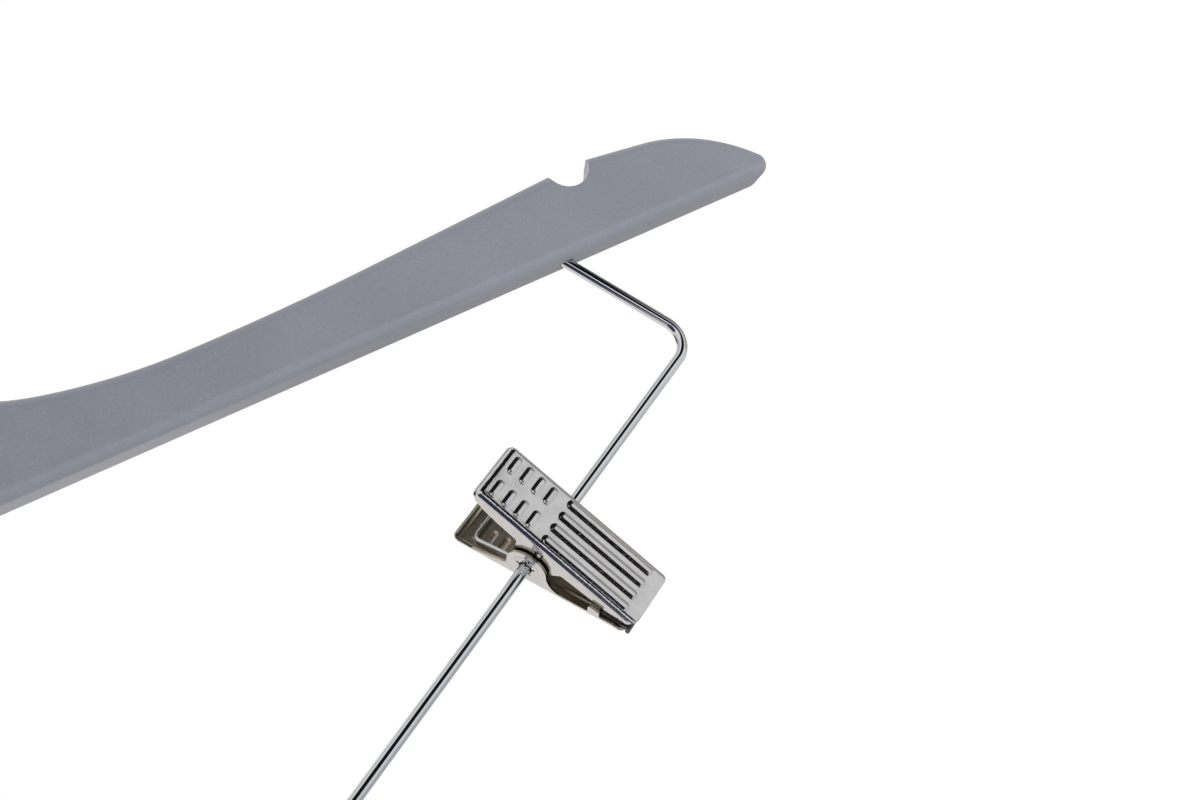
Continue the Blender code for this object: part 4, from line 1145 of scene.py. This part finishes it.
def make_clip(side, x, steel, shaded_inside, spring_steel, rubber):
    """One clip on the bar, each piece riding with its own body."""
    pivot = Vector((x, 0.0, BAR_Z))
    front_jaw = pressed_jaw(
        front_edge(), FRONT_WIDTH, FRONT_HANDLE, FRONT_JAW, FRONT_DEPTH, -1, FRONT_TILT, FRONT_END_WALL, True)
    rear_jaw = pressed_jaw(
        rear_edge(), REAR_WIDTH, REAR_HANDLE, REAR_JAW, REAR_DEPTH, 1, REAR_TILT, REAR_END_WALL, False)
    # The jaws' second finish darkens and warms their inner faces as painted shade.
    parts = (
        ("pivot_eyelet", pivot_eyelet(), steel, "eyelet"),
        ("front_jaw", front_jaw, (steel, shaded_inside), "front"),
        ("rear_jaw", rear_jaw, (steel, shaded_inside), "rear"),
        ("front_pad", front_pad(), rubber, "front"),
        ("rear_pad", rear_pad(), rubber, "rear"))
    for label, shape, finish, body in parts:
        bmesh.ops.translate(shape, verts=shape.verts, vec=pivot)
        make_piece(side + "_clip_" + label, shape, finish, side + "_" + label, side + "_" + body)
    coil = spring()
    bmesh.ops.translate(coil, verts=coil.verts, vec=pivot)
    wound = make_piece(side + "_clip_spring", coil, spring_steel, side + "_spring", even=False)
    radius = SPRING_COIL / 2.0
    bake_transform(wound, side + "_rear", side + "_front",
             start=pivot + Vector((0.0, SPRING_BLEND[0] * radius, radius)),
             end=pivot + Vector((0.0, -SPRING_BLEND[1] * radius, 0.0)))


# Studio
CAMERA_PLACE = (-0.11037, -0.36868, -0.18118)
CAMERA_TURN = (85.6903, 51.0267, -36.7484)
CAMERA_LENS = 51.0102
FLOOR_LEVEL = -0.62
FLOOR_RADIUS = 4.0
FLOOR_GLOW = (0.485, 0.505)
FLOOR_FADE = (1.6, 3.92)
FLOOR_PAINT = (0.86, 0.86, 0.855)
FLOOR_SIDES = 96
SOFT_LIGHT = 0.60

# What gloss picks up in the studio, each as its colour and where it is in degrees: a ring as two
# elevations, and patches as (azimuth, elevation, radius)
PATCH_EDGE = 3.0
WHITE = (1.0, 1.0, 1.0)
WARM_SIDE = (1.06, 1.02, 0.98), ((123.0, 0.0, 60.0),)
LIT_RING = (0.84, 0.85, 0.88), (-48.0, -30.0)
GREY_RING = (0.55, 0.56, 0.59), (-74.0, -53.0)
GREY_CORNER = (0.50, 0.48, 0.455), ((52.0, -24.0, 22.0), (24.0, -8.0, 26.0), (-12.0, -9.0, 26.0))
BRIGHT_WINDOW = (1.5, 1.5, 1.55), ((-113.0, -8.0, 4.0), (-114.0, 10.0, 8.0))
DARK_ROOM = (0.035, 0.045, 0.085), ((-142.0, 2.0, 22.0), (-172.0, 6.0, 22.0))
BLACK_PANELS = (0.010, 0.010, 0.012), (
    (-64.0, 22.0, 24.0), (-40.0, 12.0, 18.0), (-89.0, -8.0, 18.0), (-73.0, -1.0, 10.0), (118.0, 42.0, 20.0))


def direction_patch(tree, direction, azimuth, elevation, radius):
    """A soft round patch of the studio round one direction, as a mask."""
    a, e = math.radians(azimuth), math.radians(elevation)
    middle = (math.cos(e) * math.cos(a), math.cos(e) * math.sin(a), math.sin(e))
    near_middle = math_node(tree, "DOT_PRODUCT", direction, middle, kind="ShaderNodeVectorMath")
    near, far = math.radians(max(radius - PATCH_EDGE, 0.1)), math.radians(radius + PATCH_EDGE)
    return ranged(tree, near_middle, math.cos(far), math.cos(near))


def direction_patches(tree, direction, patches):
    mask = direction_patch(tree, direction, *patches[0])
    for patch in patches[1:]:
        mask = math_node(tree, "MAXIMUM", mask, direction_patch(tree, direction, *patch))
    return mask


def band_edge(elevation):
    """The heights between which a band's soft edge runs."""
    return [math.sin(math.radians(elevation + step)) for step in (-PATCH_EDGE, PATCH_EDGE)]


def level_ring(tree, direction, band):
    """A soft band of the studio between two elevations, as a mask."""
    parts = tree.nodes.new("ShaderNodeSeparateXYZ")
    tree.links.new(direction, parts.inputs[0])
    above = ranged(tree, parts.outputs["Z"], *band_edge(band[0]))
    below = ranged(tree, parts.outputs["Z"], *band_edge(band[1]), 1.0, 0.0)
    return math_node(tree, "MULTIPLY", above, below)


def background(tree, colour, strength=1.0):
    node = tree.nodes.new("ShaderNodeBackground")
    feed(tree, node.inputs["Color"], colour)
    feed(tree, node.inputs["Strength"], strength)
    return node.outputs[0]


def either(tree, share, first, second):
    node = tree.nodes.new("ShaderNodeMixShader")
    for socket, value in zip(node.inputs, (share, first, second)):
        feed(tree, socket, value)
    return node.outputs[0]


def studio_world():
    """White for the eye, plain soft light on the pieces, and a light and dark room that only gloss sees."""
    world = bpy.data.worlds.new("studio")
    bpy.context.scene.world = world
    world.use_nodes = True
    tree = world.node_tree
    tree.nodes.clear()
    direction = tree.nodes.new("ShaderNodeTexCoord").outputs["Generated"]
    path = tree.nodes.new("ShaderNodeLightPath").outputs
    room = WHITE
    layers = [(direction_patches, WARM_SIDE), (level_ring, LIT_RING), (level_ring, GREY_RING)]
    layers += [(direction_patches, layer) for layer in (GREY_CORNER, BRIGHT_WINDOW, DARK_ROOM, BLACK_PANELS)]
    for mask, (colour, where) in layers:
        room = blended(tree, mask(tree, direction, where), room, colour)
    lit = either(tree, path["Is Glossy Ray"], background(tree, WHITE, SOFT_LIGHT), background(tree, room))
    seen = math_node(tree, "MAXIMUM", path["Is Camera Ray"], path["Is Transmission Ray"])
    out = tree.nodes.new("ShaderNodeOutputWorld")
    tree.links.new(either(tree, seen, lit, background(tree, WHITE)), out.inputs["Surface"])


def pale_floor():
    """A wide white floor below the hanger that keeps its shadow and fades out at the rim."""
    shape = bmesh.new()
    bmesh.ops.create_circle(shape, cap_ends=True, radius=FLOOR_RADIUS, segments=FLOOR_SIDES)
    bmesh.ops.translate(shape, verts=shape.verts, vec=(0.0, 0.0, FLOOR_LEVEL))
    mesh = mesh_from("pale_floor", shape)
    material = bpy.data.materials.new("pale_floor")
    material.use_nodes = True
    tree = material.node_tree
    shader = tree.nodes["Principled BSDF"]
    feed(tree, shader.inputs["Base Color"], FLOOR_PAINT)
    shader.inputs["Roughness"].default_value = 0.9
    shader.inputs["Specular IOR Level"].default_value = 0.0
    path = tree.nodes.new("ShaderNodeLightPath").outputs
    seen = math_node(tree, "MAXIMUM", path["Is Glossy Ray"], path["Is Transmission Ray"])
    seen = math_node(tree, "MAXIMUM", path["Is Camera Ray"], seen)
    glow = ranged(tree, noise_node(tree, object_place(tree), 3.0), 0.0, 1.0, *FLOOR_GLOW)
    feed(tree, shader.inputs["Emission Strength"], math_node(tree, "MULTIPLY", seen, glow))
    feed(tree, shader.inputs["Emission Color"], WHITE)
    length = math_node(tree, "LENGTH", object_place(tree), kind="ShaderNodeVectorMath")
    fade = ranged(tree, length, *FLOOR_FADE, 1.0, 0.0)
    feed(tree, shader.inputs["Alpha"], fade)
    mesh.materials.append(material)
    floor = add_object("pale_floor", mesh)
    floor.visible_glossy = False


def soft_lamp(name, place, aim, size, power):
    lamp = bpy.data.lights.new(name, "AREA")
    lamp.shape = "RECTANGLE"
    lamp.size, lamp.size_y = size
    lamp.energy = power
    obj = add_object(name, lamp)
    obj.location = place
    obj.rotation_euler = (Vector(aim) - Vector(place)).to_track_quat("-Z", "Y").to_euler()
    obj.visible_glossy = False


def photo_camera():
    data = bpy.data.cameras.new("photo_camera")
    data.lens = CAMERA_LENS
    data.sensor_width = 36.0
    data.clip_start = 0.01
    camera = add_object("photo_camera", data)
    camera.location = CAMERA_PLACE
    camera.rotation_euler = [math.radians(angle) for angle in CAMERA_TURN]
    bpy.context.scene.camera = camera


photo_camera()
studio_world()
pale_floor()
soft_lamp("low_softbox", (0.2, -0.8, -0.56), (0.1, 0.0, -0.15), (0.8, 0.1), 4.2)
soft_lamp("right_softbox", (0.75, -0.55, 0.0), (0.15, 0.0, -0.15), (0.4, 0.7), 1.0)
soft_lamp("back_softbox", (-0.2, 0.9, 0.3), (0.0, 0.0, -0.15), (0.8, 0.5), 3.5)

PAINT = satin_paint()
CHROME = bright_metal("bright_chrome", "chrome", (0.60, 0.61, 0.63), (0.57, 0.58, 0.60),
                      0.055, 0.0000012, 60.0, 500.0, 0.10)
STEEL = bright_metal("plated_sheet_steel", "plated_steel", (0.56, 0.555, 0.56), (0.51, 0.505, 0.51),
                     0.10, 0.000042, 260.0, 2300.0, 0.6, 1.2)
# The inner faces' darker, warmer tint is painted shade inside the clip; their higher roughness stands for the
# duller plating there.
PAINTED_SHADE_INSIDE = bright_metal("dull_inside_of_sheet_painted_shade", "plated_steel", (0.46, 0.41, 0.34), (0.37, 0.32, 0.26),
                      0.26, 0.000009, 300.0, 2400.0, 0.5)
SPRING_STEEL = bright_metal("plated_spring_wire", "spring_steel", (0.60, 0.60, 0.60), (0.50, 0.50, 0.49),
                            0.16, 0.000006, 300.0, 2600.0, 0.4)
RUBBER = moulded_rubber()

make_arm("right_arm", 1, PAINT)
make_arm("left_arm", -1, PAINT)
make_ferrule(CHROME)
make_hook(CHROME)
make_bar(CHROME)
make_clip("right", CLIP_OFFSET, STEEL, PAINTED_SHADE_INSIDE, SPRING_STEEL, RUBBER)
make_clip("left", -CLIP_OFFSET, STEEL, PAINTED_SHADE_INSIDE, SPRING_STEEL, RUBBER)

scene = bpy.context.scene
scene.view_settings.view_transform = "Standard"
